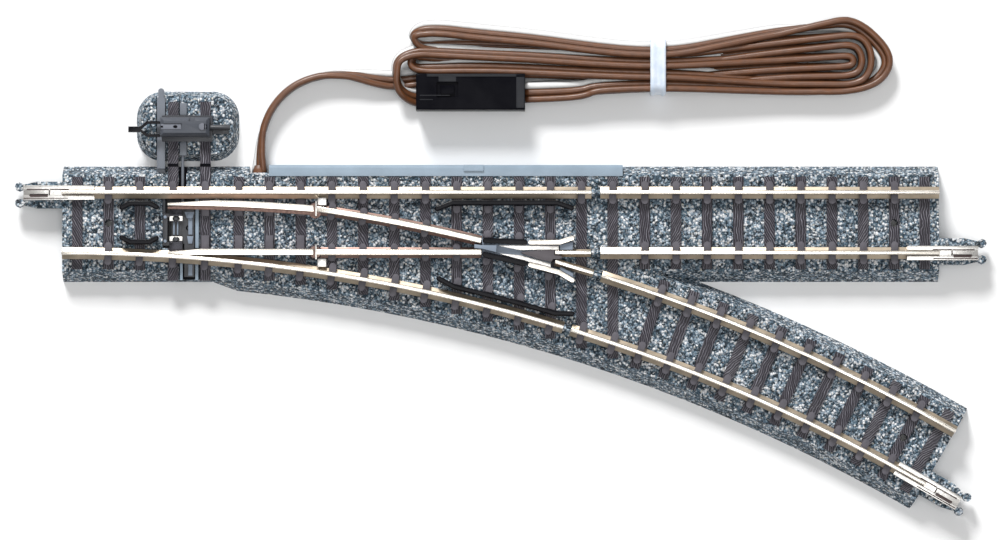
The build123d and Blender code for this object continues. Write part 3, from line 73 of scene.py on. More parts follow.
camera_data = bpy.data.cameras.new("camera")
camera_data.sensor_width = 36.0
camera_data.lens = camera_data.sensor_width * VIEW_DISTANCE / VIEW_WIDTH
camera_data.clip_start = 0.01
camera = bpy.data.objects.new("camera", camera_data)
back = Vector((0, -math.cos(VIEW_ELEVATION), math.sin(VIEW_ELEVATION)))
camera.location = VIEW_CENTRE + back * VIEW_DISTANCE
camera.rotation_euler = (math.pi / 2 - VIEW_ELEVATION, 0, 0)
bpy.context.collection.objects.link(camera)
bpy.context.scene.camera = camera


# ---------------------------------------------------------------- material tools
COAT_ROUGHNESS = 0.12


class Material:
    """A node material under construction: short calls that add and link its nodes."""

    def __init__(self, name):
        self.data = bpy.data.materials.new(name)
        self.data.use_nodes = True
        self.tree = self.data.node_tree
        self.shader = self.tree.nodes["Principled BSDF"]
        self.coords = self.add("ShaderNodeTexCoord").outputs["Object"]

    def add(self, kind, **settings):
        """A new node of this kind."""
        node = self.tree.nodes.new(kind)
        for key, value in settings.items():
            setattr(node, key, value)
        return node

    def link(self, source, target):
        self.tree.links.new(source, target)

    def feed(self, socket, value):
        """Links an output to a socket, or sets the socket to a constant."""
        if isinstance(value, bpy.types.NodeSocket):
            self.link(value, socket)
        else:
            socket.default_value = value

    def mapped(self, scale):
        """The object's own coordinates, scaled on each axis."""
        node = self.add("ShaderNodeMapping")
        node.inputs["Scale"].default_value = scale
        self.link(self.coords, node.inputs["Vector"])
        return node.outputs["Vector"]

    def noise(self, size, detail=3.0, vector=None, roughness=0.55):
        """Noise whose features are about this many metres across."""
        node = self.add("ShaderNodeTexNoise")
        self.link(vector or self.coords, node.inputs["Vector"])
        node.inputs["Scale"].default_value = 1 / size
        node.inputs["Detail"].default_value = detail
        node.inputs["Roughness"].default_value = roughness
        return node.outputs["Fac"]

    def cells(self, size, feature="F1", vector=None):
        """Voronoi cells about this many metres across: (distance, random colour)."""
        node = self.add("ShaderNodeTexVoronoi", feature=feature)
        self.link(vector or self.coords, node.inputs["Vector"])
        node.inputs["Scale"].default_value = 1 / size
        return node.outputs["Distance"], node.outputs.get("Color")

    def ramp(self, factor, stops, constant=False):
        """A colour for each (place, colour) stop, stepped or blended between them."""
        node = self.add("ShaderNodeValToRGB")
        ramp = node.color_ramp
        ramp.interpolation = "CONSTANT" if constant else "LINEAR"
        while len(ramp.elements) < len(stops):
            ramp.elements.new(1.0)
        for element, (place, colour) in zip(ramp.elements, stops):
            element.position = place
            element.color = (*colour, 1)
        self.link(factor, node.inputs["Fac"])
        return node.outputs["Color"]

    def mix(self, factor, first, second, blend="MIX"):
        """The first colour where factor is 0 and the second where it is 1."""
        node = self.add("ShaderNodeMix", data_type="RGBA", blend_type=blend)
        self.feed(node.inputs["Factor"], factor)
        for socket, value in ((node.inputs["A"], first), (node.inputs["B"], second)):
            if isinstance(value, tuple):
                value = (*value, 1)
            self.feed(socket, value)
        return node.outputs["Result"]

    def math(self, operation, first, second=0.0):
        node = self.add("ShaderNodeMath", operation=operation)
        self.feed(node.inputs[0], first)
        self.feed(node.inputs[1], second)
        return node.outputs[0]

    def span(self, value, low, high, to_low=0.0, to_high=1.0):
        """Maps a range of one value to another range, clamped."""
        node = self.add("ShaderNodeMapRange")
        self.feed(node.inputs["Value"], value)
        for key, number in zip(
            ("From Min", "From Max", "To Min", "To Max"), (low, high, to_low, to_high)
        ):
            node.inputs[key].default_value = number
        return node.outputs["Result"]

    def split(self, vector):
        node = self.add("ShaderNodeSeparateXYZ")
        self.link(vector, node.inputs[0])
        return node.outputs

    def upward(self):
        """How far the surface faces up: 1 where it lies flat, 0 where it is upright."""
        return self.split(self.add("ShaderNodeNewGeometry").outputs["Normal"])[2]

    def grey(self, colour):
        node = self.add("ShaderNodeRGBToBW")
        self.link(colour, node.inputs[0])
        return node.outputs[0]

    def bump(self, height, depth, strength, before=None):
        """A surface normal for a relief this many metres deep, laid over an earlier one."""
        node = self.add("ShaderNodeBump")
        node.inputs["Strength"].default_value = strength
        node.inputs["Distance"].default_value = depth
        self.link(height, node.inputs["Height"])
        if before:
            self.link(before, node.inputs["Normal"])
        return node.outputs["Normal"]

    def finish(self, colour, roughness, normal=None, metallic=0.0, coat=0.0, specular=0.5):
        """Feeds the shader, and returns the finished material."""
        shader = self.shader.inputs
        if isinstance(colour, tuple):
            colour = (*colour, 1)
        self.feed(shader["Base Color"], colour)
        self.feed(shader["Roughness"], roughness)
        shader["Metallic"].default_value = metallic
        shader["Coat Weight"].default_value = coat
        shader["Coat Roughness"].default_value = COAT_ROUGHNESS
        shader["Specular IOR Level"].default_value = specular
        if normal:
            self.link(normal, shader["Normal"])
        return self.data


# ---------------------------------------------------------------- materials
def ballast_material():
    """Printed and moulded stone ballast: blue-grey grains with dark, pale and sandy flecks."""
    m = Material("ballast")
    warp = m.add("ShaderNodeVectorMath", operation="MULTIPLY_ADD")
    wander = m.add("ShaderNodeTexNoise")
    m.link(m.coords, wander.inputs["Vector"])
    wander.inputs["Scale"].default_value = 1 / (0.9 * MM)
    m.link(wander.outputs["Color"], warp.inputs[0])
    warp.inputs[1].default_value = (0.35 * MM,) * 3
    m.link(m.coords, warp.inputs[2])
    grain, tint = m.cells(0.36 * MM, vector=warp.outputs[0])
    fine, fine_tint = m.cells(0.2 * MM, vector=warp.outputs[0])
    patches = m.noise(1.6 * MM, detail=4)
    pick = m.math("ADD", m.split(tint)[0], m.span(patches, 0.3, 0.7, -0.12, 0.12))
    coarse = m.ramp(
        pick,
        [
            (0.0, (0.010, 0.020, 0.028)),
            (0.22, (0.048, 0.085, 0.115)),
            (0.40, (0.108, 0.170, 0.220)),
            (0.57, (0.220, 0.310, 0.385)),
            (0.70, (0.50, 0.61, 0.70)),
            (0.80, (0.66, 0.62, 0.54)),
            (0.83, (1.0, 1.0, 1.0)),
        ],
        constant=True,
    )
    small = m.ramp(
        m.split(fine_tint)[1],
        [(0.0, (0.010, 0.020, 0.028)), (0.45, (0.14, 0.205, 0.26)), (0.75, (0.97, 0.98, 1.0))],
        constant=True,
    )
    colour = m.mix(0.3, coarse, small)
    # Painted shade: darker towards each grain's edge, in the gaps between the grains.
    shade = m.mix(m.span(grain, 0.3, 0.8), (1.0, 1.0, 1.0), (0.36, 0.41, 0.47))
    colour = m.mix(1.0, colour, shade, blend="MULTIPLY")
    stones = m.bump(m.span(grain, 0.0, 0.8, 1.0, 0.0), 0.16 * MM, 0.9)
    grit = m.bump(m.span(fine, 0.0, 0.8, 1.0, 0.0), 0.05 * MM, 0.7, before=stones)
    return m.finish(colour, m.span(m.grey(fine_tint), 0, 1, 0.55, 0.9), grit, specular=0.35)


# Sleepers of the straight bed lie this many mm apart, one to each cell counted from x = 0.
SLEEPER_PITCH = 4.98
# Those of the curve fan out by this many degrees each, from the first one in its own bed.
SLEEPER_STEP = 1.008
FIRST_SLEEPER = 19.57
CURVED_PITCH = 4.93
# Rail chairs stand above this height in mm. They are plain plastic, with no grain.
CHAIR_FROM = 4.12
CHAIR_FULL = 4.2
FIBRE_SIZE = 0.19
GRAIN_LINE_PITCH = 0.37


def sleeper_material(name, turn_centre=None):
    """Dark wood-grained plastic. Grain runs along a sleeper, and slants on some of them. Upright faces
    get painted shade.
    """
    m = Material(name)
    if turn_centre is None:
        across, along, height = m.split(m.coords)
        place = m.math("DIVIDE", across, SLEEPER_PITCH * MM)
        pitch = SLEEPER_PITCH
    else:
        shift = m.add("ShaderNodeVectorMath", operation="SUBTRACT")
        m.link(m.coords, shift.inputs[0])
        shift.inputs[1].default_value = turn_centre
        dx, dy, height = m.split(shift.outputs[0])
        angle = m.math("ARCTAN2", dx, dy)
        squared = m.math("ADD", m.math("MULTIPLY", dx, dx), m.math("MULTIPLY", dy, dy))
        along = m.math("SQRT", squared)
        first_cell = math.radians(FIRST_SLEEPER - SLEEPER_STEP / 2)
        turned = m.math("SUBTRACT", angle, first_cell)
        place = m.math("DIVIDE", turned, math.radians(SLEEPER_STEP))
        pitch = CURVED_PITCH
    index = m.math("FLOOR", place)
    side = m.math("MULTIPLY", m.math("FRACT", place), pitch * MM)
    dice = m.add("ShaderNodeTexWhiteNoise", noise_dimensions="1D")
    m.link(index, dice.inputs["W"])
    lean = m.ramp(
        dice.outputs["Value"],
        [(0.0, (0.5,) * 3), (0.35, (0.95,) * 3), (0.6, (0.05,) * 3), (0.85, (0.5,) * 3)],
        constant=True,
    )
    slant = m.span(m.grey(lean), 0.0, 1.0, -0.6, 0.6)
    sway = m.noise(2.2 * MM, detail=2)
    bend = m.math("MULTIPLY", sway, 1.0 * MM)
    line = m.math("ADD", m.math("ADD", side, bend), m.math("MULTIPLY", along, slant))
    point = m.add("ShaderNodeCombineXYZ")
    m.link(line, point.inputs[0])
    m.link(m.math("MULTIPLY", along, 0.10), point.inputs[1])
    m.link(m.math("MULTIPLY", index, 7.3 * MM), point.inputs[2])
    fibres = m.noise(FIBRE_SIZE * MM, detail=5, vector=point.outputs[0], roughness=0.65)
    broad = m.noise(0.7 * MM, detail=2, vector=point.outputs[0])
    waves = m.math("MULTIPLY", line, 2 * math.pi / (GRAIN_LINE_PITCH * MM))
    phase = m.math("ADD", waves, m.math("MULTIPLY", fibres, 3.2))
    lines = m.span(m.math("SINE", phase), -1.0, 1.0, 0.2, 0.8)
    mixed = m.math("ADD", m.math("MULTIPLY", lines, 0.55), m.math("MULTIPLY", fibres, 0.30))
    grain = m.math("ADD", mixed, m.math("MULTIPLY", broad, 0.15))
    wood = m.ramp(
        grain,
        [
            (0.30, (0.008, 0.007, 0.011)),
            (0.47, (0.022, 0.019, 0.028)),
            (0.62, (0.055, 0.050, 0.066)),
            (0.75, (0.32, 0.31, 0.35)),
        ],
    )
    plain = m.mix(m.span(sway, 0.3, 0.7), (0.072, 0.067, 0.082), (0.110, 0.103, 0.122))
    chair = m.span(height, CHAIR_FROM * MM, CHAIR_FULL * MM)
    # Painted shade: upright faces of the sleepers and chairs are darkened to near black, for the dark
    # outline round them.
    top = m.span(m.upward(), 0.35, 0.8)
    colour = m.mix(chair, wood, plain)
    colour = m.mix(top, (0.010, 0.009, 0.014), colour)
    relief = m.math("MULTIPLY", grain, m.span(chair, 0.0, 1.0, 1.0, 0.15))
    normal = m.bump(relief, 0.16 * MM, 0.9)
    return m.finish(colour, m.span(fibres, 0.3, 0.7, 0.38, 0.58), normal, specular=0.45)


def rail_material(name, side_colour, head_top):
    """Drawn nickel silver: a bright rolled head, and a tarnished web and foot."""
    m = Material(name)
    height = m.split(m.coords)[2]
    facing = m.span(m.upward(), 0.25, 0.5)
    high = m.span(height, (head_top - 0.35) * MM, (head_top - 0.2) * MM)
    top = m.math("MULTIPLY", facing, high)
    streak = m.noise(0.3 * MM, detail=4, vector=m.mapped(scale=(0.05, 1, 1)))
    blotch = m.noise(3 * MM, detail=3)
    bright = m.mix(m.span(streak, 0.35, 0.65), (0.93, 0.86, 0.76), (1.0, 0.95, 0.87))
    dull = m.mix(m.span(blotch, 0.35, 0.65), side_colour, tuple(c * 0.72 for c in side_colour))
    colour = m.mix(top, dull, bright)
    roughness = m.mix(top, (0.42,) * 3, (0.24,) * 3)
    rough = m.math("ADD", m.grey(roughness), m.span(streak, 0.3, 0.7, -0.05, 0.08))
    scratch = m.bump(streak, 0.01 * MM, 0.35)
    return m.finish(colour, rough, scratch, metallic=0.92)


def metal_material(name, colour, roughness):
    """Sheet or turned metal with faint mottling."""
    m = Material(name)
    mottled = m.noise(0.4 * MM, detail=5)
    tone = m.mix(m.span(mottled, 0.3, 0.7), colour, tuple(c * 0.8 for c in colour))
    rough = m.span(mottled, 0.3, 0.7, roughness - 0.06, roughness + 0.08)
    return m.finish(tone, rough, m.bump(mottled, 0.01 * MM, 0.4), metallic=0.95)


def plastic_material(name, colour, roughness, depth=0.012 * MM, specular=0.5):
    """Moulded plastic with fine spark-eroded texture and slight colour variation."""
    m = Material(name)
    texture_noise = m.noise(0.12 * MM, detail=4)
    flow = m.noise(4 * MM, detail=2)
    light = tuple(min(1.0, c * 1.18 + 0.004) for c in colour)
    tone = m.mix(m.span(flow, 0.3, 0.7), colour, light)
    tone = m.mix(m.span(texture_noise, 0.35, 0.75, 0.0, 0.35), tone, tuple(c * 0.7 for c in colour))
    rough = m.span(texture_noise, 0.3, 0.7, roughness - 0.07, roughness + 0.07)
    return m.finish(tone, rough, m.bump(texture_noise, depth, 0.5), specular=specular)


def core_material(name, colour, shade):
    """Soft PVC insulation with a satin sheen and slight handling marks, and painted shade on its sides
    and undersides, between the strands.
    """
    m = Material(name)
    marks = m.noise(1.2 * MM, detail=4)
    skin = m.noise(0.15 * MM, detail=3)
    tone = m.mix(m.span(marks, 0.3, 0.7), colour, shade)
    # Painted shade: sides and undersides darken towards a deep tone of the marked colour, for the dark
    # gaps between strands.
    tone = m.mix(m.span(m.upward(), 0.15, 0.75), tuple(c * 0.35 for c in shade), tone)
    rough = m.span(marks, 0.3, 0.7, 0.30, 0.44)
    return m.finish(tone, rough, m.bump(skin, 0.012 * MM, 0.4), specular=0.55)


# The tabs lie either side of this y in mm, each worn over this range of reach from it.
TAB_MIDDLE = -0.92
TAB_WORN = (1.22, 2.0)
TAB_FADE = 0.08


def tab_material():
    """Blade tab of nickel silver, blackened except for its two worn contact strips."""
    m = Material("worn_tab")
    mottled = m.noise(0.4 * MM, detail=5)
    y = m.split(m.coords)[1]
    reach = m.math("ABSOLUTE", m.math("SUBTRACT", y, TAB_MIDDLE * MM))
    near, far = TAB_WORN
    inner = m.span(reach, near * MM, (near + TAB_FADE) * MM)
    outer = m.span(reach, (far - TAB_FADE) * MM, far * MM, 1.0, 0.0)
    worn = m.math("MULTIPLY", inner, outer)
    bright = m.mix(m.span(mottled, 0.3, 0.7), (0.88, 0.86, 0.82), (0.72, 0.70, 0.66))
    dark = m.mix(m.span(mottled, 0.3, 0.7), (0.030, 0.030, 0.036), (0.050, 0.050, 0.058))
    rough = m.span(mottled, 0.3, 0.7, 0.24, 0.36)
    return m.finish(m.mix(worn, dark, bright), rough, m.bump(mottled, 0.01 * MM, 0.4), metallic=0.8)


WIRE_PITCH = 0.16


def winding_material():
    """Enamelled copper wire, wound about the core's line."""
    m = Material("copper_winding")
    x = m.split(m.coords)[0]
    turns = m.math("SINE", m.math("MULTIPLY", x, 2 * math.pi / (WIRE_PITCH * MM)))
    tone = m.mix(m.span(turns, -1, 1), (0.30, 0.09, 0.03), (0.75, 0.32, 0.14))
    return m.finish(tone, 0.3, m.bump(turns, 0.04 * MM, 0.9), metallic=0.85)


def board_material():
    """Green laminate with a faint copper track pattern under its lacquer."""
    m = Material("board_laminate")
    edge, _ = m.cells(1.6 * MM, feature="DISTANCE_TO_EDGE")
    weave = m.noise(0.2 * MM, detail=2)
    base = m.mix(m.span(weave, 0.3, 0.7), (0.02, 0.10, 0.04), (0.03, 0.14, 0.06))
    tone = m.mix(m.span(edge, 0.04, 0.08), (0.06, 0.24, 0.11), base)
    return m.finish(tone, 0.35, m.bump(weave, 0.01 * MM, 0.3), coat=0.4)


def tie_material():
    """Milky translucent strap."""
    m = Material("tie_strap")
    cloud = m.noise(1.5 * MM, detail=3)
    tone = m.mix(m.span(cloud, 0.3, 0.7), (0.60, 0.70, 0.86), (0.78, 0.85, 0.95))
    data = m.finish(tone, 0.3, m.bump(cloud, 0.03 * MM, 0.4))
    m.shader.inputs["Subsurface Weight"].default_value = 0.35
    m.shader.inputs["Subsurface Scale"].default_value = 1.0 * MM
    m.shader.inputs["Subsurface Radius"].default_value = (1.0, 1.0, 1.0)
    return data


CURVE_RADIUS = 280.0
CURVE_ANGLE = 30.0
RAIL_OFFSET = 4.825
RAIL_HEAD = 5.9
BLADE_HEAD = 5.85
BEIGE_SIDE = (0.62, 0.52, 0.40)
BROWN_SIDE = (0.30, 0.20, 0.17)

materials = {
    "ballast": ballast_material(),
    "sleeper": sleeper_material("sleeper_grain"),
    "sleeper_curve": sleeper_material("sleeper_grain_curve", mm(0, -CURVE_RADIUS, 0)),
    "rail": rail_material("rail_nickel_silver", BEIGE_SIDE, RAIL_HEAD),
    "blade": rail_material("blade_nickel_silver", BROWN_SIDE, BLADE_HEAD),
    "nickel": metal_material("pressed_nickel_silver", (0.74, 0.72, 0.69), 0.30),
    "bronze": metal_material("phosphor_bronze", (0.78, 0.52, 0.28), 0.3),
    "steel": metal_material("plated_steel", (0.66, 0.66, 0.68), 0.3),
    "black": plastic_material("black_plastic", (0.004, 0.004, 0.006), 0.24, specular=0.10),
    "pale": plastic_material("pale_grey_plastic", (0.14, 0.15, 0.18), 0.42),
    "machine_dark": plastic_material("machine_base_plastic", (0.030, 0.033, 0.042), 0.42),
    "tab": tab_material(),
    "mid_grey": plastic_material("mid_grey_plastic", (0.050, 0.057, 0.073), 0.42),
    # Dark brown painted as the shadow in the joiner slots and folds.
    "slot_brown": plastic_material("slot_brown_plastic", (0.045, 0.026, 0.024), 0.5),
    "foot_brown": metal_material("blackened_brass", (0.20, 0.13, 0.11), 0.42),
    "connector": plastic_material("connector_plastic", (0.002, 0.002, 0.004), 0.3, specular=0.03),
    # A lighter black than the housing, painted as the highlights along the connector's rims.
    "edge_black": plastic_material("connector_edge_plastic", (0.016, 0.017, 0.021), 0.4, specular=0.2),
    "blue_grey": plastic_material("blue_grey_plastic", (0.20, 0.245, 0.31), 0.5),
    "strip": plastic_material("drive_strip_plastic", (0.26, 0.335, 0.41), 0.42, depth=0.03 * MM),
    "dark_grey": plastic_material("dark_grey_plastic", (0.028, 0.030, 0.036), 0.42),
    "lever_grey": plastic_material("lever_grey_plastic", (0.135, 0.150, 0.178), 0.45),
    "brown": plastic_material("brown_plastic", (0.070, 0.060, 0.068), 0.4),
    "winding": winding_material(),
    "board": board_material(),
    "core_brown": core_material("core_brown", (0.155, 0.060, 0.024), (0.110, 0.044, 0.020)),
    "core_white": core_material("core_white", (0.80, 0.80, 0.79), (0.70, 0.70, 0.70)),
    "tie": tie_material(),
}


# ---------------------------------------------------------------- mesh tools
def new_piece(name, mesh, material, body):
    """A visual piece that rides on a body."""
    piece = bpy.data.objects.new(name, mesh)
    bpy.context.collection.objects.link(piece)
    for one in material if isinstance(material, tuple) else (material,):
        mesh.materials.append(one)
    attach(piece, body)
    return piece


SHARP_ANGLE = math.radians(28)
FLAT_ANGLE = math.radians(0.6)
SAME_PLACE = 1e-6


def join_rings(bm, first, second):
    """A band of faces between two rings of vertices."""
    count = len(first)
    faces = []
    for step in range(count):
        after = (step + 1) % count
        faces.append(bm.faces.new((first[step], first[after], second[after], second[step])))
    return faces


def round_edges(bm, width, segments=2):
    """Rounds every sharp edge, over this many millimetres."""
    sharp = [
        edge
        for edge in bm.edges
        if len(edge.link_faces) == 2 and edge.calc_face_angle(0) > SHARP_ANGLE
    ]
    bmesh.ops.bevel(
        bm,
        geom=sharp,
        offset=width * MM,
        segments=segments,
        profile=0.6,
        affect="EDGES",
        clamp_overlap=True,
    )


def shade(bm, sharp_degrees=32):
    """Smooth shading, broken at edges sharper than this."""
    limit = math.radians(sharp_degrees)
    for face in bm.faces:
        face.smooth = True
    for edge in bm.edges:
        edge.smooth = len(edge.link_faces) != 2 or edge.calc_face_angle(0) < limit


def to_mesh(bm, name):
    """A named mesh of what was built in bm."""
    mesh = bpy.data.meshes.new(name)
    bm.to_mesh(mesh)
    bm.free()
    return mesh


def softened(node, material, width, segments=2):
    """A node's shape with its edges rounded, in place of the sharp CAD shape."""
    bm = bmesh.new()
    bm.from_mesh(nodes[node].data)
    for face in bm.faces:
        face.material_index = 0
    bmesh.ops.remove_doubles(bm, verts=bm.verts, dist=SAME_PLACE)
    bmesh.ops.dissolve_limit(bm, angle_limit=FLAT_ANGLE, verts=bm.verts, edges=bm.edges)
    round_edges(bm, width, segments)
    shade(bm)
    name = node + "_moulding"
    piece = new_piece(name, to_mesh(bm, name), material, nodes[node]["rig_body"])
    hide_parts(node)
    return piece


def prisms(name, shapes, material, body, width=0.04):
    """Upright prisms with rounded edges, each (outline, bottom, top), as one piece."""
    bm = bmesh.new()
    for outline, bottom, top in shapes:
        low = [bm.verts.new(mm(x, y, bottom)) for x, y in outline]
        high = [bm.verts.new(mm(x, y, top)) for x, y in outline]
        bm.faces.new(low[::-1])
        bm.faces.new(high)
        join_rings(bm, low, high)
    bmesh.ops.recalc_face_normals(bm, faces=bm.faces)
    round_edges(bm, width)
    shade(bm)
    return new_piece(name, to_mesh(bm, name), material, body)


def oblong(x0, x1, y0, y1):
    """The outline of a rectangle."""
    return [(x0, y0), (x1, y0), (x1, y1), (x0, y1)]


def disc(x, y, radius, sides=16, stretch=1.0):
    """The outline of a regular polygon, stretched along X."""
    return [
        (
            x + radius * stretch * math.cos(2 * math.pi * step / sides),
            y + radius * math.sin(2 * math.pi * step / sides),
        )
        for step in range(sides)
    ]


def placed(outline, x, y, heading):
    """An outline drawn along a heading, moved to its place."""
    turn = math.radians(heading)
    return [
        (x + u * math.cos(turn) - v * math.sin(turn), y + u * math.sin(turn) + v * math.cos(turn))
        for u, v in outline
    ]


# ---------------------------------------------------------------- the lead and its hank
CORE_RADIUS = 0.56
CORE_SPACING = 1.08
CORE_SIDES = 12
SAMPLES_PER_SPAN = 10

# x, y, z and the ribbon's turn about its own line: 0 lies flat, -90 stands on its white edge.
LEAD_ROUTE = [
    (31.4, 8.1, 1.5, -50),
    (31.4, 11.4, 1.6, -70),
    (31.95, 15.3, 1.75, -90),
    (33.65, 19.1, 1.75, -90),
    (36.85, 22.2, 1.75, -90),
    (41.1, 23.8, 1.75, -88),
    (45.9, 24.0, 1.6, -70),
    (50.0, 23.3, 1.32, -35),
    (53.6, 22.9, 0.92, -12),
]
TIE_CENTRE = 95.2
LEFT_X = 64.0
RIGHT_X = 117.0
LOOP_X = 121.5
# Heights of a ribbon's middle: in the tie's lower and upper layers, and standing on edge.
LOW_LAYER = 1.9
HIGH_LAYER = 3.35
EDGE_ON = 1.75
# How steeply the ribbons lean at the tie, at the left end and at the right end.
TIE_TILT = 40
LEFT_TILT = 34
RIGHT_TILT = 58

# Each run of the hank: its y at the left, at the tie and at the right, and its layer.
RUNS = [
    (24.95, 24.15, 25.30, LOW_LAYER),
    (27.30, 25.90, 26.75, HIGH_LAYER),
    (20.80, 22.40, 24.05, LOW_LAYER),
    (27.30, 25.90, 28.15, LOW_LAYER),
    (25.30, 24.15, 22.90, HIGH_LAYER),
    (29.00, 27.60, 29.60, LOW_LAYER),
    (30.60, 27.60, 31.10, HIGH_LAYER),
    (20.90, 22.40, 21.65, HIGH_LAYER),
]
# Reach of the right-hand loop after each run, and how far its upper side humps.
RIGHT_REACH = {0: (126.4, 0.0), 2: (127.8, 0.2), 4: (129.3, 0.1)}
# Runs that lean further towards the left end, so that only a thin white line shows.
LEFT_LEAN = {1: 14}
# The run that passes flat below the connector, and its height and turn at the stations there.
FLAT_RUN = 2
FLAT_STATIONS = {66.0: (0.76, -4), 75.0: (1.1, -16)}
# The last run bends away to the connector left of this x.
LAST_RUN_END = 85.0


def ease(value):
    """Slow at both ends: 0 at 0 and 1 at 1."""
    return value * value * (3 - 2 * value)


def run_station(run, x):
    """Y, height and turn of one run where it passes x."""
    left, middle, right, layer = RUNS[run]
    if x < TIE_CENTRE:
        part = min(1, (TIE_CENTRE - x) / (TIE_CENTRE - LEFT_X))
        y = middle + (left - middle) * ease(part)
        height = layer - 0.4 * ease(part)
        tilt = TIE_TILT + (LEFT_TILT - TIE_TILT) * part + LEFT_LEAN.get(run, 0) * ease(part)
    else:
        part = min(1, (x - TIE_CENTRE) / (RIGHT_X - TIE_CENTRE))
        y = middle + (right - middle) * ease(part)
        height = layer + (EDGE_ON - layer) * ease(part)
        tilt = TIE_TILT + (RIGHT_TILT - TIE_TILT) * ease(part)
    return y, height, -tilt if run % 2 == 0 else -180 + tilt


def right_loop(run):
    """Points round the right end, from one run to the next, standing on edge."""
    start = RUNS[run][2]
    gap = RUNS[run + 1][2] - start
    end = start + gap
    reach, peak = RIGHT_REACH[run]
    shoulder = reach - 0.85 * (0.30 * gap + 0.4)
    bulge = 0.10 * gap
    return [
        (LOOP_X, start - bulge * 0.5, EDGE_ON, -75),
        (shoulder, start - bulge, EDGE_ON, -90),
        (reach, start + gap * 0.24, EDGE_ON, -90),
        (reach, start + gap * 0.76, EDGE_ON, -90),
        (shoulder, end + bulge + peak, EDGE_ON, -90),
        (LOOP_X, end + (bulge + peak) * 0.5, EDGE_ON, -105),
    ]


# End loops drawn point by point, after the run each follows: the three at the left, and the
# outermost at the right, which rises to a fold and slants down, its white edge turned inwards.
DRAWN_LOOPS = {
    1: [
        (60.0, 27.6, 2.8, -130),
        (56.4, 27.7, 2.8, -124),
        (53.4, 26.4, 2.85, -110),
        (53.2, 23.8, 2.95, -95),
        (53.9, 21.4, 2.3, -60),
        (56.4, 20.2, 1.12, -20),
        (60.0, 20.4, 0.76, -4),
    ],
    3: [
        (60.5, 27.2, 1.45, -146),
        (57.6, 27.2, 1.5, -120),
        (55.7, 26.5, 1.75, -90),
        (56.0, 25.1, 2.1, -70),
        (58.4, 25.0, 2.6, -46),
    ],
    5: [
        (60.5, 28.9, 1.3, -146),
        (57.9, 28.6, 1.5, -130),
        (56.2, 29.2, 1.9, -100),
        (55.9, 30.4, 2.4, -70),
        (57.6, 31.2, 2.8, -40),
        (61.0, 31.2, 2.95, -36),
    ],
    6: [
        (LOOP_X, 31.7, EDGE_ON, -100),
        (125.4, 32.15, EDGE_ON, -128),
        (128.2, 30.7, EDGE_ON, -136),
        (131.2, 27.6, EDGE_ON, -136),
        (131.7, 25.3, EDGE_ON, -132),
        (130.0, 23.0, EDGE_ON, -125),
        (126.4, 21.6, EDGE_ON, -112),
        (LOOP_X, 21.3, EDGE_ON, -105),
    ],
}
STATIONS = [66.0, 75.0, 85.0, 92.0, 98.5, 106.0, 114.5]
CONNECTOR_TAIL = [
    (83.0, 21.3, 3.1, -160),
    (78.0, 21.0, 3.2, -176),
    (73.9, 20.9, 3.2, -180),
]


def hank_points():
    """The hank's eight runs and seven end loops, from the lead to the connector."""
    points = []
    last_run = len(RUNS) - 1
    for run in range(len(RUNS)):
        stations = STATIONS if run % 2 == 0 else STATIONS[::-1]
        for x in stations:
            if run == last_run and x < LAST_RUN_END:
                continue
            y, height, turn = run_station(run, x)
            if run == FLAT_RUN:
                height, turn = FLAT_STATIONS.get(x, (height, turn))
            points.append((x, y, height, turn))
        if run in RIGHT_REACH:
            points += right_loop(run)
        points += DRAWN_LOOPS.get(run, [])
    return points + CONNECTOR_TAIL


def follow(points):
    """Samples of the smooth NURBS line that has these control points."""
    curve = bpy.data.curves.new("route", "CURVE")
    curve.dimensions = "3D"
    spline = curve.splines.new("NURBS")
    spline.points.add(len(points) - 1)
    for control, point in zip(spline.points, points):
        control.co = (*mm(*point[:3]), 1)
    spline.order_u = 3
    spline.use_endpoint_u = True
    spline.resolution_u = SAMPLES_PER_SPAN
    holder = bpy.data.objects.new("route", curve)
    bpy.context.collection.objects.link(holder)
    bpy.context.view_layer.update()
    mesh = bpy.data.meshes.new_from_object(holder)
    samples = [vertex.co.copy() for vertex in mesh.vertices]
    bpy.data.objects.remove(holder)
    bpy.data.curves.remove(curve)
    bpy.data.meshes.remove(mesh)
    return samples


def turns_along(points, count):
    """The ribbon's turn at each of this many even steps along the NURBS line."""
    spans = len(points) - 2
    places = [0.0] + [index - 0.5 for index in range(1, len(points) - 1)] + [float(spans)]
    found = []
    index = 0
    for step in range(count):
        place = spans * step / (count - 1)
        while index < len(places) - 2 and places[index + 1] < place:
            index += 1
        part = (place - places[index]) / (places[index + 1] - places[index])
        turn = points[index][3]
        found.append(math.radians(turn + (points[index + 1][3] - turn) * part))
    return found


def add_core(bm, centres, frames, material_index):
    """A round core along centres, each ring in the plane of its two given directions."""
    rings = []
    for centre, (across, up) in zip(centres, frames):
        ring = []
        for step in range(CORE_SIDES):
            angle = 2 * math.pi * step / CORE_SIDES
            out = across * math.cos(angle) + up * math.sin(angle)
            ring.append(bm.verts.new(centre + out * CORE_RADIUS * MM))
        rings.append(ring)
    for first, second in zip(rings, rings[1:]):
        for face in join_rings(bm, first, second):
            face.material_index = material_index
            face.smooth = True
    for ring in (rings[0][::-1], rings[-1]):
        cap = bm.faces.new(ring)
        cap.material_index = material_index


def ribbon_frames(path, turns):
    """Width and thickness directions of the ribbon at each sample."""
    frames = []
    for index, turn in enumerate(turns):
        before = path[max(0, index - 1)]
        after = path[min(len(path) - 1, index + 1)]
        along = (after - before).normalized()
        left = Vector((0, 0, 1)).cross(along).normalized()
        up = along.cross(left)
        width = left * math.cos(turn) + up * math.sin(turn)
        frames.append((width, along.cross(width)))
    return frames


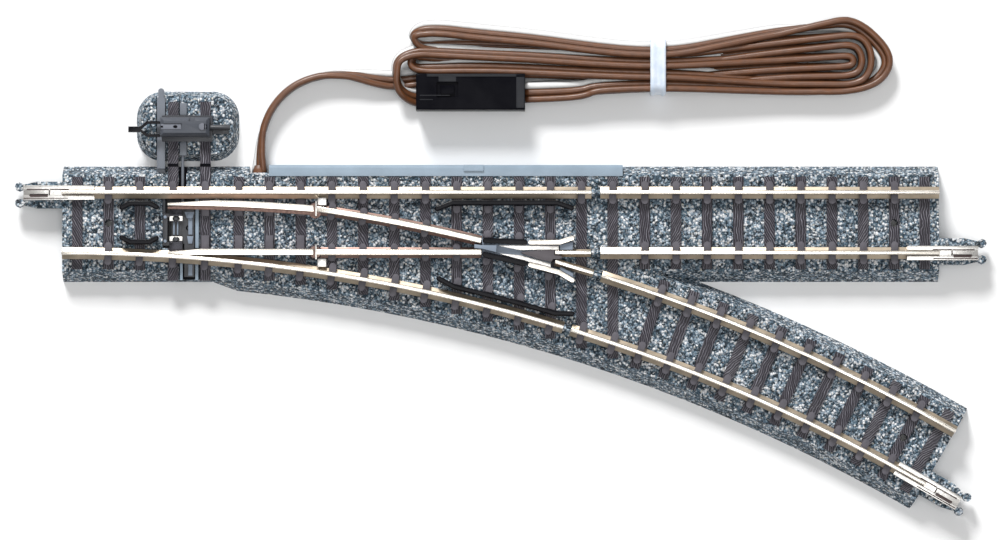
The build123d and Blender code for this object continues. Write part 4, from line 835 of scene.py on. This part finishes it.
def ribbon(points):
    """Three-core ribbon cable, two brown cores and one white, and its middle line."""
    path = follow(points)
    frames = ribbon_frames(path, turns_along(points, len(path)))
    bm = bmesh.new()
    for core in (-1, 0, 1):
        centres = [p + width * (core * CORE_SPACING * MM) for p, (width, _) in zip(path, frames)]
        add_core(bm, centres, frames, 1 if core == 1 else 0)
    return to_mesh(bm, "switch_lead"), path


cord_mesh, cord_path = ribbon(LEAD_ROUTE + hank_points())
CORE_COLOURS = (materials["core_brown"], materials["core_white"])
switch_lead = new_piece("switch_lead", cord_mesh, CORE_COLOURS, "track")
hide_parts("cord_lead", "cord_hank")

# ---------------------------------------------------------------- floor and light
FLOOR_HALF = 1.5
WORLD_STRENGTH = 0.30

floor_mesh = bpy.data.meshes.new("floor")
floor_corners = [(x, y, 0) for x, y in oblong(-FLOOR_HALF, FLOOR_HALF, -FLOOR_HALF, FLOOR_HALF)]
floor_mesh.from_pydata(floor_corners, [], [(0, 1, 2, 3)])
floor = bpy.data.objects.new("floor", floor_mesh)
bpy.context.collection.objects.link(floor)
floor_paint = Material("floor_paint")
floor_mesh.materials.append(floor_paint.finish((0.93, 0.93, 0.93), 0.9, specular=0.1))


def area_light(name, place, size, power):
    """A round light aimed at the middle of the view."""
    data = bpy.data.lights.new(name, "AREA")
    data.shape = "DISK"
    data.size = size
    data.energy = power
    light = bpy.data.objects.new(name, data)
    light.location = place
    light.rotation_euler = (VIEW_CENTRE - Vector(place)).to_track_quat("-Z", "Y").to_euler()
    bpy.context.collection.objects.link(light)


area_light("key_light", (-0.15, 0.75, 0.60), 0.30, 10.0)
area_light("fill_light", (0.75, -0.45, 0.7), 0.6, 1.6)
area_light("top_light", (0.07, -0.10, 1.3), 0.8, 4.6)

world = bpy.data.worlds.new("studio")
bpy.context.scene.world = world
world.use_nodes = True
background = world.node_tree.nodes["Background"]
background.inputs["Color"].default_value = (1, 1, 1, 1)
background.inputs["Strength"].default_value = WORLD_STRENGTH
bpy.context.scene.view_settings.view_transform = "Standard"

# ---------------------------------------------------------------- carried-over nodes
# Widths in mm over which edges are rounded.
BED_EDGE = 0.12
SLEEPER_EDGE = 0.09
PART_EDGE = 0.06
GUARD_RAIL_EDGE = 0.26

for node in ("roadbed", "island_base"):
    softened(node, materials["ballast"], BED_EDGE)
for node in ("sleepers_switch", "sleepers_straight"):
    softened(node, materials["sleeper"], SLEEPER_EDGE)
softened("sleepers_diverging", materials["sleeper_curve"], SLEEPER_EDGE)
RAILS = [
    "stock_rail_straight",
    "stock_rail_curved",
    "exit_rail_straight_back",
    "exit_rail_straight_front",
    "exit_rail_diverging_outer",
    "exit_rail_diverging_inner",
    "frog_rail_straight",
    "frog_rail_diverging",
]
BLADES = [
    "blade_curved",
    "blade_straight",
    "closure_rail_straight",
    "closure_rail_curved",
    "wing_rail_straight",
    "wing_rail_diverging",
]
FINISHES = {
    "rail": RAILS,
    "blade": BLADES,
    "nickel": [
        "joiner_toe",
        "joiner_straight",
        "joiner_diverging",
        "heel_clips",
        "heel_contacts",
        "frog_contact_strips",
    ],
    "black": ["wing_insulators", "machine_fork"],
    "connector": ["connector_housing"],
    "blue_grey": ["frog_base"],
    "mid_grey": ["machine_cover"],
    "strip": ["drive_case"],
    "dark_grey": [
        "machine_shaft",
        "throw_bar",
        "bell_crank",
        "coil_bobbins",
        "base_cover",
        "board_parts",
    ],
    "lever_grey": ["manual_lever", "machine_rod"],
    "machine_dark": ["machine_base"],
    "tab": ["blade_tab_curved", "blade_tab_straight"],
    "brown": ["frog_nose"],
    "ballast": ["rail_gap_blocks", "cord_clamp"],
    "steel": ["heel_pins", "crank_pivot", "link_strip", "plunger", "cover_screws"],
    "bronze": ["detent_spring", "connector_contacts"],
    "winding": ["coil_windings"],
    "board": ["circuit_board"],
}
for finish, names in FINISHES.items():
    for node in names:
        piece = softened(node, materials[finish], PART_EDGE)
for node in ("guard_rails_toe", "guard_rail_back", "guard_rail_front"):
    softened(node, materials["black"], GUARD_RAIL_EDGE, segments=4)

# ---------------------------------------------------------------- tie
TIE_MIDDLE = (95.15, 25.0, 2.62)
TIE_HALF = (4.1, 2.1)
TIE_CORNER = 1.3
CORNER_STEPS = 6
TIE_SHARP = 50
# The band's section: along the hank from its middle, and outwards from its inner line.
TIE_PROFILE = [
    (-1.25, 0.0),
    (-1.25, 0.26),
    (-1.05, 0.44),
    (-0.72, 0.46),
    (-0.45, 0.28),
    (0.45, 0.28),
    (0.72, 0.46),
    (1.05, 0.44),
    (1.25, 0.26),
    (1.25, 0.0),
]


def tie_path():
    """Points and outward directions of the tie's inner line, in Y and Z."""
    path = []
    for quarter in range(4):
        sign_y = (1, -1, -1, 1)[quarter]
        sign_z = (1, 1, -1, -1)[quarter]
        centre_y = TIE_MIDDLE[1] + sign_y * (TIE_HALF[0] - TIE_CORNER)
        centre_z = TIE_MIDDLE[2] + sign_z * (TIE_HALF[1] - TIE_CORNER)
        for step in range(CORNER_STEPS + 1):
            angle = math.radians(90 * (quarter + step / CORNER_STEPS))
            out = (math.cos(angle), math.sin(angle))
            path.append((centre_y + TIE_CORNER * out[0], centre_z + TIE_CORNER * out[1], out))
    return path


def tie_mesh():
    """The band, closed round the hank, with a raised rib along each edge."""
    bm = bmesh.new()
    rings = [
        [
            bm.verts.new(mm(TIE_MIDDLE[0] + dx, y + out[0] * lift, z + out[1] * lift))
            for dx, lift in TIE_PROFILE
        ]
        for y, z, out in tie_path()
    ]
    for index, ring in enumerate(rings):
        join_rings(bm, ring, rings[(index + 1) % len(rings)])
    bmesh.ops.recalc_face_normals(bm, faces=bm.faces)
    shade(bm, TIE_SHARP)
    return to_mesh(bm, "tie_band")


tie_band = new_piece("tie_band", tie_mesh(), materials["tie"], "track")
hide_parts("cord_tie")

# ---------------------------------------------------------------- connector details
CONNECTOR_TOP = 5.9
# Ribs, latch and rims of the connector, raised a little: moulded detail, in a lighter black that
# paints the highlights along them.
connector_edge = prisms(
    "connector_edge",
    [
        (oblong(57.2, 73.4, 23.3, 23.75), 5.2, CONNECTOR_TOP - 0.4),
        (oblong(60.1, 62.9, 22.5, 23.4), 5.4, CONNECTOR_TOP + 0.02),
        (oblong(72.5, 73.8, 18.3, 23.2), 5.4, CONNECTOR_TOP + 0.03),
        (oblong(57.1, 61.9, 20.22, 20.36), 5.4, CONNECTOR_TOP + 0.05),
        (oblong(57.1, 59.2, 19.55, 19.68), 5.4, CONNECTOR_TOP + 0.05),
        (oblong(56.55, 56.85, 18.6, 23.2), 5.0, CONNECTOR_TOP - 0.1),
    ],
    materials["edge_black"],
    "track",
)

# ---------------------------------------------------------------- strain relief
# Sections of the sleeve: y, half width and half height.
RELIEF_SECTIONS = [(7.9, 1.15, 1.3), (8.5, 1.1, 1.3), (8.9, 0.95, 1.2), (9.3, 0.8, 1.05)]
RELIEF_CENTRE = (31.4, 1.62)
RELIEF_SIDES = 24
RELIEF_SQUARENESS = 0.4


def relief_mesh():
    """Tapered sleeve where the lead leaves the roadbed."""
    bm = bmesh.new()
    rings = []
    for y, half_x, half_z in RELIEF_SECTIONS:
        ring = []
        for step in range(RELIEF_SIDES):
            angle = 2 * math.pi * step / RELIEF_SIDES
            square = 1 / max(abs(math.cos(angle)), abs(math.sin(angle))) ** RELIEF_SQUARENESS
            x = RELIEF_CENTRE[0] + half_x * math.cos(angle) * square
            z = RELIEF_CENTRE[1] + half_z * math.sin(angle) * square
            ring.append(bm.verts.new(mm(x, y, z)))
        rings.append(ring)
    for first, second in zip(rings, rings[1:]):
        join_rings(bm, first, second)
    bm.faces.new(rings[0])
    bm.faces.new(rings[-1][::-1])
    bmesh.ops.recalc_face_normals(bm, faces=bm.faces)
    shade(bm)
    return to_mesh(bm, "lead_relief")


new_piece("lead_relief", relief_mesh(), materials["core_brown"], "track")

# ---------------------------------------------------------------- painted shadow in the joiner slots
TRACK_LENGTH = 140.0
INNER_RADIUS = CURVE_RADIUS - RAIL_OFFSET
DIVERGING_END = (
    INNER_RADIUS * math.sin(math.radians(CURVE_ANGLE)),
    -CURVE_RADIUS + INNER_RADIUS * math.cos(math.radians(CURVE_ANGLE)),
)
# Each joiner's rail end and heading.
JOINERS = {
    "toe": (0.0, RAIL_OFFSET, 180),
    "straight": (TRACK_LENGTH, -RAIL_OFFSET, 0),
    "diverging": (*DIVERGING_END, -CURVE_ANGLE),
}
# Dark marks painted as the shadow in the slots and folds along a joiner: outline, bottom and top.
JOINER_SLOT_SHADOWS = [
    ([(2.25, -0.72), (5.0, -0.72), (5.3, -0.42), (2.25, -0.42)], 4.66, 4.80),
    (oblong(2.25, 5.2, -0.42, -0.18), 3.9, 4.08),
    (oblong(2.1, 5.6, 0.42, 0.60), 4.66, 4.79),
    (oblong(-5.1, -0.1, -0.42, -0.28), 4.2, 4.62),
    ([(-1.2, 0.42), (1.8, 0.42), (2.1, 0.62), (-1.0, 0.62)], 4.66, 4.79),
    (oblong(-1.0, 6.1, -1.0, -0.82), 4.66, 4.79),
    (oblong(1.95, 2.15, -0.42, 0.42), 3.9, 4.09),
]
MARK_EDGE = 0.02

for end, place in JOINERS.items():
    flip = -1 if end == "toe" else 1
    prisms(
        "joiner_slots_" + end,
        [
            (placed([(u, flip * v) for u, v in outline], *place), low, high)
            for outline, low, high in JOINER_SLOT_SHADOWS
        ],
        materials["slot_brown"],
        "track",
        MARK_EDGE,
    )

# ---------------------------------------------------------------- throw bar details
prisms(
    "throw_bar_fittings",
    [
        ([(19.55, 1.75), (19.9, 0.75), (20.85, 0.75), (21.1, 1.75)], 3.8, 4.25),
        (disc(20.45, 1.15, 0.5, 6), 4.2, 4.45),
        (oblong(20.15, 20.8, -1.85, 0.75), 3.8, 4.05),
        ([(19.95, -2.1), (20.95, -2.1), (20.75, -3.3), (20.15, -3.3)], 3.8, 4.05),
        (oblong(20.15, 20.8, -8.4, -6.6), 3.8, 3.94),
        (oblong(17.75, 17.98, -1.9, 0.1), 3.8, 4.2),
        (oblong(18.35, 18.55, -1.9, 0.1), 3.8, 4.2),
        (disc(16.45, 0.95, 0.28, 6), 3.8, 4.1),
        (disc(16.45, -2.9, 0.28, 6), 3.8, 4.1),
    ],
    materials["blue_grey"],
    "throw",
)
prisms(
    "throw_gap_guides",
    [
        (oblong(21.25, 21.8, -4.0, 3.9), 2.85, 3.75),
        (oblong(21.25, 21.75, -9.1, -5.9), 2.85, 3.7),
        (oblong(18.8, 19.25, -9.1, -5.9), 2.85, 3.7),
    ],
    materials["strip"],
    "track",
)
# Black floor at the bottom of the throw bar's gap, painted as the shade down there.
prisms(
    "throw_gap_floor",
    [(oblong(18.62, 21.93, -9.0, -4.2), 2.6, 2.82), (oblong(18.62, 19.9, 5.0, 9.0), 2.6, 2.84)],
    materials["connector"],
    "track",
)

# ---------------------------------------------------------------- painted shade in the breaks of the long sleepers
LONG_SLEEPERS = (17.7, 22.85)
BREAK_HALF = 0.86

prisms(
    "sleeper_breaks",
    [(oblong(x - BREAK_HALF, x + BREAK_HALF, 9.0, 9.5), 3.9, 4.04) for x in LONG_SLEEPERS],
    materials["connector"],
    "track",
)

# ---------------------------------------------------------------- point machine details
prisms(
    "machine_panel",
    [(oblong(15.85, 19.05, 14.85, 15.65), 6.35, 6.46), (disc(22.45, 15.25, 0.55), 6.6, 6.72)],
    materials["pale"],
    "track",
)
# Black marks painted as the shade in the cover's hollow, grooves and notch.
prisms(
    "machine_marks",
    [
        (disc(18.15, 15.25, 0.24, 14, 1.5), 6.4, 6.5),
        (oblong(22.75, 22.9, 14.8, 15.7), 6.65, 6.76),
        (oblong(23.05, 23.2, 14.9, 15.6), 6.3, 6.66),
        (oblong(15.8, 16.2, 15.1, 15.4), 6.4, 6.5),
    ],
    materials["connector"],
    "track",
)

# ---------------------------------------------------------------- blade flange
# The blade's height range, the flange's own, and how far the flange lies to the side, in mm.
BLADE_BASE = 4.6
BLADE_HEIGHT = 1.35
FLANGE_BOTTOM = 4.62
FLANGE_HEIGHT = 0.23
FLANGE_REACH = 0.55


def flange_mesh():
    """Thin dark flange along the open blade's gauge side, shaped from the blade."""
    mesh = nodes["blade_curved"].data.copy()
    for vertex in mesh.vertices:
        part = max(0.0, (vertex.co.z / MM - BLADE_BASE) / BLADE_HEIGHT)
        vertex.co.z = (FLANGE_BOTTOM + FLANGE_HEIGHT * part) * MM
        vertex.co.y -= FLANGE_REACH * MM
    mesh.materials.clear()
    return mesh


new_piece("blade_curved_flange", flange_mesh(), materials["foot_brown"], "curved_blade")
